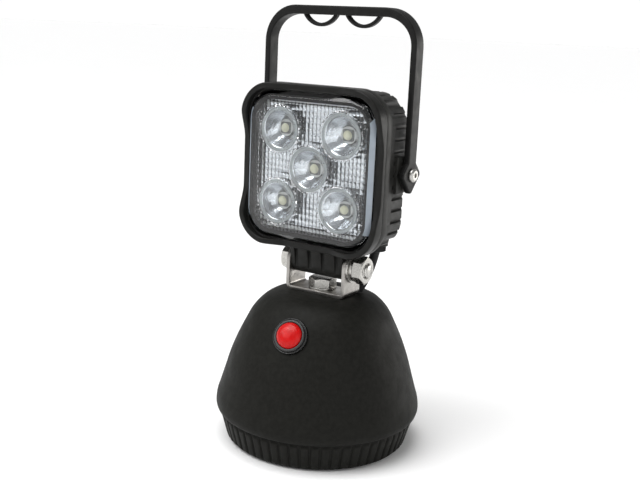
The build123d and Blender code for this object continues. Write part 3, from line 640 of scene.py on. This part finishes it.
SKIRT = [  # share of the height, share of the ribs' depth and inset in mm, from the floor up
    (0.0, 0, 0.9), (0.02, 0, 0.3), (0.05, 0, 0.0), (0.08, 0.5, 0), (0.11, 0.9, 0),
    (0.15, 1, 0), (0.3, 1, 0), (0.5, 1, 0), (0.7, 1, 0), (0.85, 1, 0),
    (0.89, 0.9, 0), (0.92, 0.5, 0), (0.95, 0, 0.0), (0.985, 0, 0.2), (1, 0, 0.8),
]
top, bottom = TRAY_HIGH.z, TRAY_LOW.z
levels = []
for t, ribbed, inset in SKIRT:
    r = FOOT_R + (HEM_R - FOOT_R) * t - inset * MM
    levels.append(skirt_ring(r, bottom + (top - bottom) * t, ribbed))
levels.append(skirt_ring(HEM_R - 5 * MM, top))
levels.append(skirt_ring(FOOT_R - 5.2 * MM, TRAY_FLOOR))
levels.append(skirt_ring(POT_R, TRAY_FLOOR))
levels.append(skirt_ring(POT_R, TRAY_UNDER))
levels.append(skirt_ring(FOOT_R - 4.2 * MM, TRAY_UNDER))
levels.append(skirt_ring(FOOT_R - 3.4 * MM, bottom))
bm = bmesh.new()
add_rings(bm, levels, loop=True)
tray = to_object(bm, "tray_body", finish_of("base_tray"), sharp=50)
for k in range(4):
    a = pi / 4 + k * pi / 2
    post = Matrix.Translation((POST_R * cos(a), POST_R * sin(a), 0))
    cut(tray, cutter([(0, -2), (3.4, -2), (3.4, 5.5), (1.6, 5.5), (1.6, 9), (0, 9)], post, 32))
stand_in(tray, "base_tray")

# ---------------------------------------------------------------- button and charge socket


CAP = [  # radius and height over the shell in mm
    (0, 6.5), (3.0, 6.35), (5.2, 5.85), (6.9, 5.0), (8.0, 4.0), (8.6, 3.0), (8.8, 1.6),
    (8.8, -6), (6.6, -6), (6.6, -1), (2.2, -1), (2.2, -11), (0, -11),
]
cap_finish = finish_of("power_button_cap")
cap = turned("button_cap_body", scaled(CAP), button_place, cap_finish, ease=0.25 * MM)
stand_in(cap, "power_button_cap")

# the spring behind the cap gets a mesh of its own
spring = frame["nodes"]["button_spring"]
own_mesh(spring)

BEZEL = [
    (8.9, -14), (8.9, 2.0), (9.2, 2.4), (10.3, 2.4), (10.7, 2.0), (10.8, 0.5), (11.2, 0.35), (11.4, 0.9),
    (11.8, 0.95), (12.0, 0.6), (12.0, -2.2), (9.4, -2.2), (9.4, -16), (6.5, -16), (6.5, -14),
]
ring = turned(
    "button_ring_body", scaled(BEZEL), button_place, finish_of("button_bezel"), loop=True, ease=0.2 * MM
)
stand_in(ring, "button_bezel")
eased("socket_cap", 0.35 * MM)
eased("lead_grommet", 0.3 * MM)
eased("rubber_foot_pad", 0.3 * MM)

# ---------------------------------------------------------------- bracket, bolts, nuts and washers

HEX = pi / 3


def hex_reach(flats, angle):
    """Distance from the centre of a hexagon to its edge, a corner being at angle 0."""
    return flats / 2 / cos(angle % HEX - HEX / 2)


def hex_piece(name, place, flats, height, turn, material, bore=0.0, both=False, count=96):
    """A bolt head or nut whose corners are turned off by a 30 degree cone."""
    cone = flats / 2 * 0.95
    turns = [turn + 2 * pi * k / count for k in range(count)]

    def ring(r, z, angle_reach=False):
        made = []
        for a in turns:
            reach = hex_reach(flats, a - turn) if angle_reach else r
            lift = (reach - cone) * tan(pi / 6) if angle_reach else 0
            depth = z - lift if z > height / 2 else (z + lift if both else z)
            made.append(place @ Vector((reach * cos(a), reach * sin(a), depth)))
        return made

    low = [ring(cone, 0)] if both else []
    rings = [*low, ring(0, 0, True), ring(0, height, True), ring(cone, height)]
    if bore:
        rings = [ring(bore, 0), *rings, ring(bore + 0.6 * MM, height), ring(bore, height - 0.6 * MM)]
    else:
        rings = [[place @ Vector((0, 0, 0))], *rings, [place @ Vector((0, 0, height))]]
    bm = bmesh.new()
    add_rings(bm, rings, loop=bool(bore))
    return to_object(bm, name, material, sharp=25)


def threaded_rod(name, place, start, thread_start, end, material, r=BOLT_R, pitch=1.5 * MM, count=48):
    """A rod along the local Z of place, threaded from thread_start to its chamfered end."""
    bm = bmesh.new()
    levels = [start, start, thread_start]
    steps = int((end - thread_start) / (0.2 * MM))
    levels += [thread_start + (end - thread_start) * k / steps for k in range(1, steps + 1)]
    rings = []
    for i, z in enumerate(levels):
        ring = []
        for k in range(count):
            a = 2 * pi * k / count
            wave = abs(((z / pitch - k / count) % 1) * 2 - 1)
            reach = r - (0.75 * MM * wave if z > thread_start else 0)
            reach = min(reach, r - max(0, z - end + 0.9 * MM))
            reach = max(reach, 3.6 * MM) if i else 0.01 * MM
            ring.append(place @ Vector((reach * cos(a), reach * sin(a), z)))
        rings.append(ring)
    add_rings(bm, rings, cap=True)
    return to_object(bm, name, material, sharp=50)


def washer(node, r, bore, thick, place):
    """A flat washer with lightly rounded edges."""
    outline = scaled([(bore, 0), (r, 0), (r, thick), (bore, thick)])
    made = turned(node + "_body", outline, place, finish_of(node), loop=True, ease=0.25 * MM)
    return stand_in(made, node)


def join(name, pieces):
    """One object out of several closed pieces."""
    bm = bmesh.new()
    for piece in pieces:
        bm.from_mesh(piece.data)
    mesh = bpy.data.meshes.new(name)
    bm.to_mesh(mesh)
    bm.free()
    for material in pieces[-1].data.materials:
        mesh.materials.append(material)
    for piece in pieces:
        bpy.data.objects.remove(piece)
    return link(name, mesh)


eased("u_bracket", 0.3 * MM, segments=3)
FLATS = 17.0 * MM
bolt_low, bolt_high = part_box("pivot_bolt")
nut_low, nut_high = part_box("pivot_nut")
across = Matrix.Rotation(pi / 2, 4, "Y")


def on_pivot(x):
    """A place on the pivot axis with its local Z along +X."""
    return Matrix.Translation(PIVOT + X * x) @ across


steel_finish = finish_of("pivot_bolt")
head_start = Matrix.Translation(PIVOT - X * EAR) @ Matrix.Rotation(-pi / 2, 4, "Y")
head = hex_piece("pivot_head", head_start, FLATS, -bolt_low.x - EAR, 0, steel_finish)
rod = threaded_rod("pivot_rod", on_pivot(0), -EAR, EAR + 6 * MM, bolt_high.x, steel_finish)
stand_in(join("pivot_bolt_body", [head, rod]), "pivot_bolt")
nut = hex_piece(
    "pivot_nut_body", on_pivot(nut_low.x), FLATS, nut_high.x - nut_low.x, radians(-10),
    finish_of("pivot_nut"), bore=BOLT_R, both=True,
)
stand_in(nut, "pivot_nut")
WASHER_T = 1.6  # in mm, like the washers' radii
washer("pivot_flat_washer", 10, 5, WASHER_T, on_pivot(EAR))
eased("pivot_spring_washer", 0.3 * MM)

bolt_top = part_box("centre_bolt")[1].z
washer_low, washer_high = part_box("centre_washer")
washer("centre_washer", 9.6, 5.2, WASHER_T, Matrix.Translation(Z * washer_low.z))
seat = Matrix.Translation(Z * washer_high.z)
head = hex_piece("centre_head", seat, FLATS, bolt_top - washer_high.z, radians(30), steel_finish)
down = Matrix.Translation(Z * washer_high.z) @ Matrix.Rotation(pi, 4, "X")
bolt_foot = washer_high.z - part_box("centre_bolt")[0].z
rod = threaded_rod("centre_rod", down, 0, 8 * MM, bolt_foot, steel_finish)
stand_in(join("centre_bolt_body", [head, rod]), "centre_bolt")


def socket_head(name, place, r, low, high, flats, deep, shank_r, shank_end, material, count=48):
    """A button-head screw with a hexagon socket. Its shank runs down the local Z of place."""
    turns = [2 * pi * k / count for k in range(count)]
    rise = high - low

    def ring(reach, z):
        reaches = [reach] * count if reach else [hex_reach(flats, a) for a in turns]
        return [place @ Vector((s * cos(a), s * sin(a), z)) for s, a in zip(reaches, turns)]

    crown = [(r * 0.985, low), (r, low + rise * 0.12)]
    crown += [(r * sin(q), low + rise * (0.12 + 0.88 * cos(q))) for q in (1.35, 1.15, 0.95, 0.78)]
    top = crown[-1][1]
    rings = [[place @ Vector((0, 0, shank_end))], ring(shank_r, shank_end), ring(shank_r, low)]
    rings += [ring(s, z) for s, z in crown]
    rings += [ring(flats / 2 * 1.3, top + 0.05 * MM), ring(0, top), ring(0, top - deep)]
    rings += [[place @ Vector((0, 0, top - deep - 0.3 * MM))]]
    bm = bmesh.new()
    add_rings(bm, rings)
    return to_object(bm, name, material, sharp=35)


# ---------------------------------------------------------------- lamp housing and its trim

eased("lamp_housing", 0.35 * MM, segments=2)
eased("vent_plug", 0.3 * MM)
gland_low, gland_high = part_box("cable_gland")
GLAND = middle("cable_gland")
gland_hex = 4.0 * MM
hex_top = Matrix.Translation((GLAND.x, GLAND.y, gland_low.z + gland_hex))
under_gland = hex_top @ Matrix.Rotation(pi, 4, "X")
gland_finish = finish_of("cable_gland")
gland = hex_piece("gland_hex", under_gland, 13.2 * MM, gland_hex, 0, gland_finish)
neck_place = Matrix.Translation((GLAND.x, GLAND.y, 0))
neck_r, neck_low, neck_high = 4.5 * MM, gland_low.z + gland_hex, gland_high.z
neck_outline = [(0, neck_low), (neck_r, neck_low), (neck_r, neck_high), (0, neck_high)]
neck = turned("gland_neck", neck_outline, neck_place, gland_finish, 48)
gland = join("cable_gland_body", [gland, neck])
LEAD_R = 3.2 * MM
recess_r, recess_deep = LEAD_R / MM + 0.8, 2.9
recess = [(0, -1), (recess_r, -1), (recess_r, recess_deep), (0, recess_deep)]
cut(gland, cutter(recess, Matrix.Translation((GLAND.x, GLAND.y, gland_low.z)), 48))
stand_in(gland, "cable_gland")

SCREW_PITCH = 45.5 * MM
corner_heads = []
screw_low, screw_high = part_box("bezel_screws")
for side in (-1, 1):
    for level_sign in (-1, 1):
        centre = Vector((side * SCREW_PITCH, 0, HEAD.z + level_sign * SCREW_PITCH))
        place = Matrix.Translation(centre) @ Matrix.Rotation(-pi / 2, 4, "X")
        corner_heads.append(
            socket_head(
                "corner_screw", place, 2.8 * MM, screw_high.y - 2.4 * MM, screw_high.y, 2 * MM, 1.3 * MM,
                1.25 * MM, screw_low.y, finish_of("bezel_screws"),
            )
        )
stand_in(join("bezel_screws_body", corner_heads), "bezel_screws")

# ---------------------------------------------------------------- scooped front rim

STATIONS = 480
RIM_CORNER = 23.0 * MM
SCOOP = 5.0 * MM
SCOOP_FLAT, SCOOP_END = 16 * MM, 38 * MM
LIP = RIM_REAR - 4.0 * MM  # front of the lip that holds the lens
LIP_T = 1.4 * MM
RIM_WALL, LIP_REACH, REAR_WALL = 4.0 * MM, 4.9 * MM, 3.2 * MM


def scoop_depth(point):
    """How far the rim's front edge is scooped back at a station of its outline."""
    along = min(abs(point.x), abs(point.y))
    t = min(max((along - SCOOP_FLAT) / (SCOOP_END - SCOOP_FLAT), 0), 1)
    return SCOOP * (1 - t * t * (3 - 2 * t))


def rim_section(dip):
    """The rim's section as (inset from the outline, depth y), closed."""
    front = RIM_FRONT + dip
    corners = [
        ((0.0, RIM_REAR), 0.3), ((0.0, front), 1.3), ((RIM_WALL, front), 1.0), ((RIM_WALL, LIP), 0.3),
        ((LIP_REACH, LIP), 0.3), ((LIP_REACH, LIP + LIP_T), 0.2), ((REAR_WALL, LIP + LIP_T), 0.2),
        ((REAR_WALL, RIM_REAR), 0.3),
    ]
    out = []
    for i, (corner, radius) in enumerate(corners):
        before, after = corners[i - 1][0], corners[(i + 1) % len(corners)][0]
        out += soften([before, corner, after], radius * MM, steps=5)[1:-1]
    return out


outline = rounded_square(RIM_HALF, RIM_CORNER, STATIONS)
sections = [rim_section(scoop_depth(point)) for point, normal in outline]
bm = bmesh.new()
rings = []
for k in range(len(sections[0])):
    ring = []
    for (point, normal), section in zip(outline, sections):
        ring.append(head_point(point - normal * section[k].x, section[k].y))
    rings.append(ring)
add_rings(bm, rings, loop=True)
rim = to_object(bm, "front_rim_body", finish_of("front_bezel"), sharp=60)
stand_in(rim, "front_bezel")

# ---------------------------------------------------------------- fluted lens

CUP_STEP = 24.3 * MM
CUPS = [Vector((0, 0))] + [Vector((x * CUP_STEP, z * CUP_STEP)) for x in (-1, 1) for z in (-1, 1)]
CUP_R = 15.0 * MM
LENS_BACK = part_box("lens")[1].y
LENS_INNER = LENS_FRONT + 2.6 * MM
FLUTE_W, FLUTE_H = 2.9 * MM, 3.8 * MM
FLUTE_RISE, FLUTE_CROWN = 0.36 * MM, 0.50 * MM
WINDOW = CUP_R + 0.3 * MM
WINDOW_LIP = 1.0 * MM
FIELD_HALF, FIELD_CORNER = 43.9 * MM, 14.4 * MM  # the fluted field


def lens_relief(point):
    """Height of the moulded pattern on the lens's inner face."""
    reach = min((point - cup).length for cup in CUPS)
    if reach < WINDOW:
        return 0.0
    if reach < WINDOW + WINDOW_LIP:
        t = (reach - WINDOW) / WINDOW_LIP
        return 0.5 * MM * sin(pi * t) ** 0.5
    u = (point.x / FLUTE_W % 1) * 2 - 1
    v = (point.y / FLUTE_H % 1) * 2 - 1
    return FLUTE_RISE * (1 - u * u) + FLUTE_CROWN * (1 - v * v)


def snapped(point, spacing):
    """Moves a grid point that is close to a window's edge onto it."""
    for cup in CUPS:
        away = point - cup
        for r in (WINDOW, WINDOW + WINDOW_LIP):
            if abs(away.length - r) < spacing * 0.45:
                return cup + away.normalized() * r
    return point


def in_field(point, margin):
    """Whether a point is inside the fluted field by this margin."""
    straight = FIELD_HALF - FIELD_CORNER
    away = Vector((max(abs(point.x) - straight, 0), max(abs(point.y) - straight, 0)))
    return away.length < FIELD_CORNER - margin


bm = bmesh.new()
LENS_STEPS = [  # half size, corner radius and depth of each level, from the front face backwards
    (46.2, 16.2, LENS_FRONT),
    (46.5, 16.5, LENS_FRONT + 0.10 * MM),
    (46.8, 16.8, LENS_FRONT + 0.35 * MM),
    (49.6, 19.6, LENS_FRONT + 3.2 * MM),
    (49.9, 19.9, LENS_FRONT + 3.5 * MM),
    (50.0, 20.0, LENS_FRONT + 3.8 * MM),
    (50.0, 20.0, LENS_FRONT + 4.9 * MM),
    (51.6, 27.6, LENS_FRONT + 4.9 * MM),
    (51.6, 27.6, LENS_BACK),
    (47.2, 16.0, LENS_BACK),
    (47.2, 16.0, LENS_INNER),
]
BEVEL_RINGS = (2, 3)  # the bevelled edge runs between these levels
rings = []
for half, corner, y in LENS_STEPS:
    rings.append([head_point(point, y) for point, normal in rounded_square(half * MM, corner * MM, 320)])
made = add_rings(bm, rings)
bevel = set(made[BEVEL_RINGS[0]]) | set(made[BEVEL_RINGS[1]])
PAINTED_LIGHT_END = 38 * MM  # the upright stretches of the bevel get a ground surface with painted light, up to this far from the middle
# upright bevel faces take the second slot, the ground surface with painted light
for face in bm.faces:
    upright = all(abs(corner.co.z - HEAD.z) < PAINTED_LIGHT_END < abs(corner.co.x) for corner in face.verts)
    face.material_index = int(upright and all(corner in bevel for corner in face.verts))
bm.faces.new(made[0])
inner_edges = [bm.edges.get((a, b)) for a, b in zip(made[-1], made[-1][1:] + made[-1][:1])]
GRID = FLUTE_W / 6
cells = int(FIELD_HALF / GRID)
grid = {}
for i in range(-cells, cells + 1):
    for k in range(-cells, cells + 1):
        flat = Vector((i * GRID, k * GRID))
        if in_field(flat, 0.3 * MM):
            flat = snapped(flat, GRID)
            grid[i, k] = bm.verts.new(head_point(flat, LENS_INNER + lens_relief(flat)))
skin = []
for (i, k), corner in grid.items():
    ring = [corner, grid.get((i + 1, k)), grid.get((i + 1, k + 1)), grid.get((i, k + 1))]
    if all(ring):
        skin.append(bm.faces.new(ring))
for corner in [v for v in grid.values() if not v.link_faces]:
    bm.verts.remove(corner)
skin_edges = {e for face in skin for e in face.edges if len(e.link_faces) == 1}
bmesh.ops.bridge_loops(bm, edges=[*inner_edges, *skin_edges])
lens = to_object(bm, "lens_body", finish_of("lens"), sharp=24)
# second slot: the painted light on the upright bevel faces
lens.data.materials.append(FROSTED_PAINTED_LIGHT)
stand_in(lens, "lens")

# a black ring on the inner face, round the fluted field, is painted shade: a dark sheet standing in for the dark
# line at the lens's edge
bm = bmesh.new()
rings = []
LENS_EDGE_SHADE_LEVELS = [(44.0, 14.5, 0.05), (47.1, 15.9, 0.05), (47.1, 15.9, 0.35), (44.0, 14.5, 0.35)]
for half, corner, y in LENS_EDGE_SHADE_LEVELS:
    level = rounded_square(half * MM, corner * MM, 240)
    rings.append([head_point(point, LENS_INNER + y * MM) for point, normal in level])
add_rings(bm, rings, loop=True)
shade_sheet = to_object(bm, "lens_shade_sheet_body", LENS_EDGE_SHADE)
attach(shade_sheet, BODY["lens"])

# ---------------------------------------------------------------- reflector and light emitters

MOUTH = REFLECTOR_LOW.y
PLATE_BACK = REFLECTOR_HIGH.y
PLATE_FRONT = PLATE_BACK - 1.2 * MM
PLATE_HALF = REFLECTOR_HIGH.x
FLOOR_R, RIM_IN, SHEET = 5.6 * MM, 12.3 * MM, 1.2 * MM
CUP_FLOOR = REFLECTOR_HIGH.y
BOWL = (CUP_FLOOR - MOUTH) / (RIM_IN**2 - FLOOR_R**2)


def bowl_radius(y):
    """Inside radius of a reflector cup at depth y, a parabola."""
    return sqrt(FLOOR_R**2 + (CUP_FLOOR - y) / BOWL)


def plate_ring(y):
    """The outline of the reflector's plate."""
    return [head_point(point, y) for point, normal in rounded_square(PLATE_HALF, 8 * MM, 96)]


def cup_ring(cup, r, y, count=96):
    """A circle round one cup's axis."""
    turns = [2 * pi * k / count for k in range(count)]
    return [head_point(cup + Vector((cos(a), sin(a))) * r, y) for a in turns]


bm = bmesh.new()
HOLE = bowl_radius(PLATE_FRONT) + SHEET * 0.5
FACES = (PLATE_FRONT, PLATE_BACK)
loops = [[plate_ring(y) for y in FACES]]
loops += [[cup_ring(cup, HOLE, y) for y in FACES] for cup in CUPS]
walls = [add_rings(bm, pair) for pair in loops]
for side in (0, 1):
    edges = []
    for wall in walls:
        ring = wall[side]
        edges += [bm.edges.get((a, b)) for a, b in zip(ring, ring[1:] + ring[:1])]
    bmesh.ops.triangle_fill(bm, use_beauty=True, edges=edges)
plate = to_object(bm, "reflector_plate", finish_of("reflector"), sharp=30)

CUP_LIP = [  # radius and depth behind the mouth of each cup's flat edge, in mm
    (12.5, 0.15), (12.9, 0.0), (14.5, 0.0), (14.8, 0.12), (14.95, 0.35), (14.9, 1.0), (13.6, 1.1),
]
EDGE_R, EDGE_DEEP = 12.4 * MM, 0.5 * MM  # the duller edge starts here and lies this close to the mouth
lip = [(r * MM, -MOUTH - back * MM) for r, back in CUP_LIP]
cups = []
for cup in CUPS:
    place = Matrix.Translation(head_point(cup, 0)) @ Matrix.Rotation(pi / 2, 4, "X")
    depths = [CUP_FLOOR + (MOUTH + 0.7 * MM - CUP_FLOOR) * k / 20 for k in range(21)]
    inner = [(bowl_radius(y), -y) for y in depths]
    outer = [(bowl_radius(y) + SHEET, -y) for y in reversed(depths[:-1])]
    bowl = turned("cup", [*inner, *lip, *outer], place, finish_of("reflector"), 128, loop=True)
    bowl.data.materials.append(CUP_EDGE)
    for face in bowl.data.polygons:
        spot = face.center - head_point(cup, 0)
        on_edge = sqrt(spot.x**2 + spot.z**2) > EDGE_R and spot.y < MOUTH + EDGE_DEEP
        face.material_index = int(on_edge)
    cups.append(bowl)
stand_in(join("reflector_body", [plate, *cups]), "reflector")

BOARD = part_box("led_emitters")[1].y
BLOCK_HALF, BLOCK_CORNER, BLOCK_T = 3.8 * MM, 1 * MM, 1.2 * MM
DOME_R, DOME_TOP = 3.1 * MM, 2.2 * MM


def cushion(cup, half, corner, low, high, material, name):
    """A small rounded square block on the LED board, with eased edges."""
    count = 48
    bm = bmesh.new()
    steps = [(0, low), (0, high + 0.2 * MM), (0.08 * MM, high + 0.06 * MM), (0.25 * MM, high)]
    rings = []
    for inset, y in steps:
        ring = rounded_square(half - inset, max(corner - inset, 0.1 * MM), count)
        rings.append([head_point(cup + point, y) for point, normal in ring])
    add_rings(bm, rings, cap=True)
    return to_object(bm, name, material)


blocks, domes = [], []
for cup in CUPS:
    front = BOARD - BLOCK_T
    blocks.append(cushion(cup, BLOCK_HALF, BLOCK_CORNER, BOARD, front, CERAMIC, "led_block"))
    place = Matrix.Translation(head_point(cup, front)) @ Matrix.Rotation(pi / 2, 4, "X")
    dome = [(0, 0), (DOME_R, 0), (DOME_R, 0.3 * MM)]
    for q in (0.15, 0.4, 0.65, 0.9, 1.15, 1.4):
        dome.append((2.9 * MM * cos(q), 0.35 * MM + 1.85 * MM * sin(q)))
    dome.append((0, DOME_TOP))
    domes.append(turned("led_dome", dome, place, finish_of("led_emitters"), 48))
stand_in(join("led_emitters_body", domes), "led_emitters")
block = join("led_blocks_body", blocks)
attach(block, BODY["led_emitters"])

# ---------------------------------------------------------------- carrying handle

handle_low, handle_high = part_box("bail_handle")
HANDLE_Y = (handle_low.y + handle_high.y) / 2
BAR_T, BAR_D, GRIP_T = 4.2 * MM, 10.4 * MM, 6.0 * MM
BAR_IN = handle_high.x - BAR_T
HANDLE_TOP = handle_high.z
BEND = 24.5 * MM
EDGE = 1.0 * MM
handle_finish = finish_of("bail_handle")


def bar_section(thick, deep, edge, steps=4):
    """Rounded rectangle of a bar, as (across, depth)."""
    t, d = thick / 2, deep / 2
    return soften([(-t, -d), (t, -d), (t, d), (-t, d)], edge, steps, closed=True)


def swept(name, path, sections, material):
    """Sweeps sections along a flat path of (x, z) points, one section for each point."""
    bm = bmesh.new()
    rings = []
    for i, (here, section) in enumerate(zip(path, sections)):
        before, after = path[max(i - 1, 0)], path[min(i + 1, len(path) - 1)]
        along = (after - before).normalized()
        out = Vector((along.y, -along.x))
        rings.append([Vector((here.x + out.x * a, HANDLE_Y + d, here.y + out.y * a)) for a, d in section])
    add_rings(bm, rings, cap=True)
    return to_object(bm, name, material)


# the middle line runs between an outer bend and a tighter inner one, and the bar thickens along it
side_line, top_line = BAR_IN + BAR_T / 2, HANDLE_TOP - GRIP_T / 2
across_bend, up_bend = BEND - BAR_T / 2, BEND - GRIP_T / 2
path, thick = [], []
for z in (2 * MM, 40 * MM):
    path.append(Vector((-side_line, HEAD.z + z)))
    thick.append(BAR_T)
for side in (-1, 1):
    for k in range(17):
        a = pi / 2 * (1 - k / 16 if side < 0 else k / 16)
        x, z = side_line - across_bend * (1 - sin(a)), top_line - up_bend * (1 - cos(a))
        path.append(Vector((side * x, z)))
        thick.append(BAR_T * sin(a) ** 2 + GRIP_T * cos(a) ** 2)
for z in (40 * MM, 2 * MM):
    path.append(Vector((side_line, HEAD.z + z)))
    thick.append(BAR_T)
handle = swept("bail_handle_body", path, [bar_section(t, BAR_D, EDGE) for t in thick], handle_finish)

LOZENGE = soften(scaled([(-12.5, 0), (0, -13.5), (12.5, 0), (0, 13.5)]), 3.0 * MM, 8, closed=True)
for side in (-1, 1):
    count = len(LOZENGE)
    normals = []
    for i in range(count):
        along = (LOZENGE[(i + 1) % count] - LOZENGE[i - 1]).normalized()
        normals.append(Vector((along.y, -along.x)))
    bm = bmesh.new()
    rings = []
    for k in range(12):
        q = pi / 2 * (k % 6) / 5
        if k < 6:
            inset, depth = EDGE * (1 - sin(q)), EDGE * (1 - cos(q))
        else:
            inset, depth = EDGE * (1 - cos(q)), BAR_T - EDGE * (1 - sin(q))
        x = side * (BAR_IN + depth)
        eased_in = [p - n * inset for p, n in zip(LOZENGE, normals)]
        rings.append([Vector((x, HANDLE_Y + p.x, HEAD.z + p.y)) for p in eased_in])
    add_rings(bm, rings, cap=True)
    combine(handle, to_object(bm, "lozenge", handle_finish), "UNION")

HOOP_STEP, HOOP_SPAN, HOOP_DROP = 16.8 * MM, 27.4 * MM, 7.8 * MM
WIRE, WIRE_D = 2.4 * MM, 4.2 * MM
hoop_r = ((HOOP_SPAN / 2) ** 2 + HOOP_DROP**2) / (2 * HOOP_DROP)
bar_under = HANDLE_TOP - GRIP_T
wire_section = bar_section(WIRE, WIRE_D, 0.9 * MM)
swing = asin((HOOP_SPAN / 2) / hoop_r)
for side in (-1, 1):
    centre = Vector((side * HOOP_STEP, bar_under - HOOP_DROP + hoop_r))
    turns = [swing * (k / 12 - 1) for k in range(25)]
    arc = [centre + Vector((sin(a), -cos(a))) * (hoop_r - WIRE / 2) for a in turns]
    first = arc[0] + (arc[0] - arc[1]).normalized() * 1.5 * MM
    last = arc[-1] + (arc[-1] - arc[-2]).normalized() * 1.5 * MM
    hoop_path = [first, *arc, last]
    combine(handle, swept("hoop", hoop_path, [wire_section] * len(hoop_path), handle_finish), "UNION")
SCREW_HOLE = 2.55  # in mm
bore_place = Matrix.Translation((0, HANDLE_Y, HEAD.z)) @ Matrix.Rotation(pi / 2, 4, "Y")
cut(handle, cutter([(0, -80), (SCREW_HOLE, -80), (SCREW_HOLE, 80), (0, 80)], bore_place, 48))
stand_in(handle, "bail_handle")

screws = []
SEAT = BAR_IN + BAR_T
for side in (-1, 1):
    centre = Vector((0, HANDLE_Y, HEAD.z))
    place = Matrix.Translation(centre) @ Matrix.Rotation(side * pi / 2, 4, "Y")
    screws.append(
        socket_head(
            "handle_screw", place, 4.6 * MM, SEAT + 0.2 * MM, SEAT + 3.6 * MM, 3 * MM, 1.6 * MM,
            2.5 * MM, 45 * MM, finish_of("handle_screws"),
        )
    )
stand_in(join("handle_screws_body", screws), "handle_screws")
eased("handle_washers", 0.2 * MM)

# ---------------------------------------------------------------- power lead

LEAD_POINTS = [(0.0315, 0.0175, 0.1402), (0.0280, 0.0184, 0.1228), (0.0200, 0.0166, 0.1082)]


def spline_points(points):
    """Points read along a NURBS spline through the route, in metres."""
    curve = bpy.data.curves.new("route", "CURVE")
    curve.dimensions, curve.resolution_u = "3D", 24
    spline = curve.splines.new("NURBS")
    spline.points.add(len(points) - 1)
    for knot, point in zip(spline.points, points):
        knot.co = (*point, 1)
    spline.order_u = 3
    spline.use_endpoint_u = True
    holder = bpy.data.objects.new("route", curve)
    line = bpy.data.meshes.new_from_object(holder)
    found = [v.co.copy() for v in line.vertices]
    bpy.data.objects.remove(holder)
    return found


route = spline_points(LEAD_POINTS)
bm = bmesh.new()
rings = []
sideways = Y
for i, here in enumerate(route):
    along = (route[min(i + 1, len(route) - 1)] - route[max(i - 1, 0)]).normalized()
    out = along.cross(sideways).normalized()
    sideways = out.cross(along)
    turns = [2 * pi * k / 32 for k in range(32)]
    rings.append([here + (out * cos(a) + sideways * sin(a)) * LEAD_R for a in turns])
add_rings(bm, rings, cap=True)
lead = to_object(bm, "power_lead_body", finish_of("power_lead"))
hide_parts("power_lead")
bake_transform(lead)
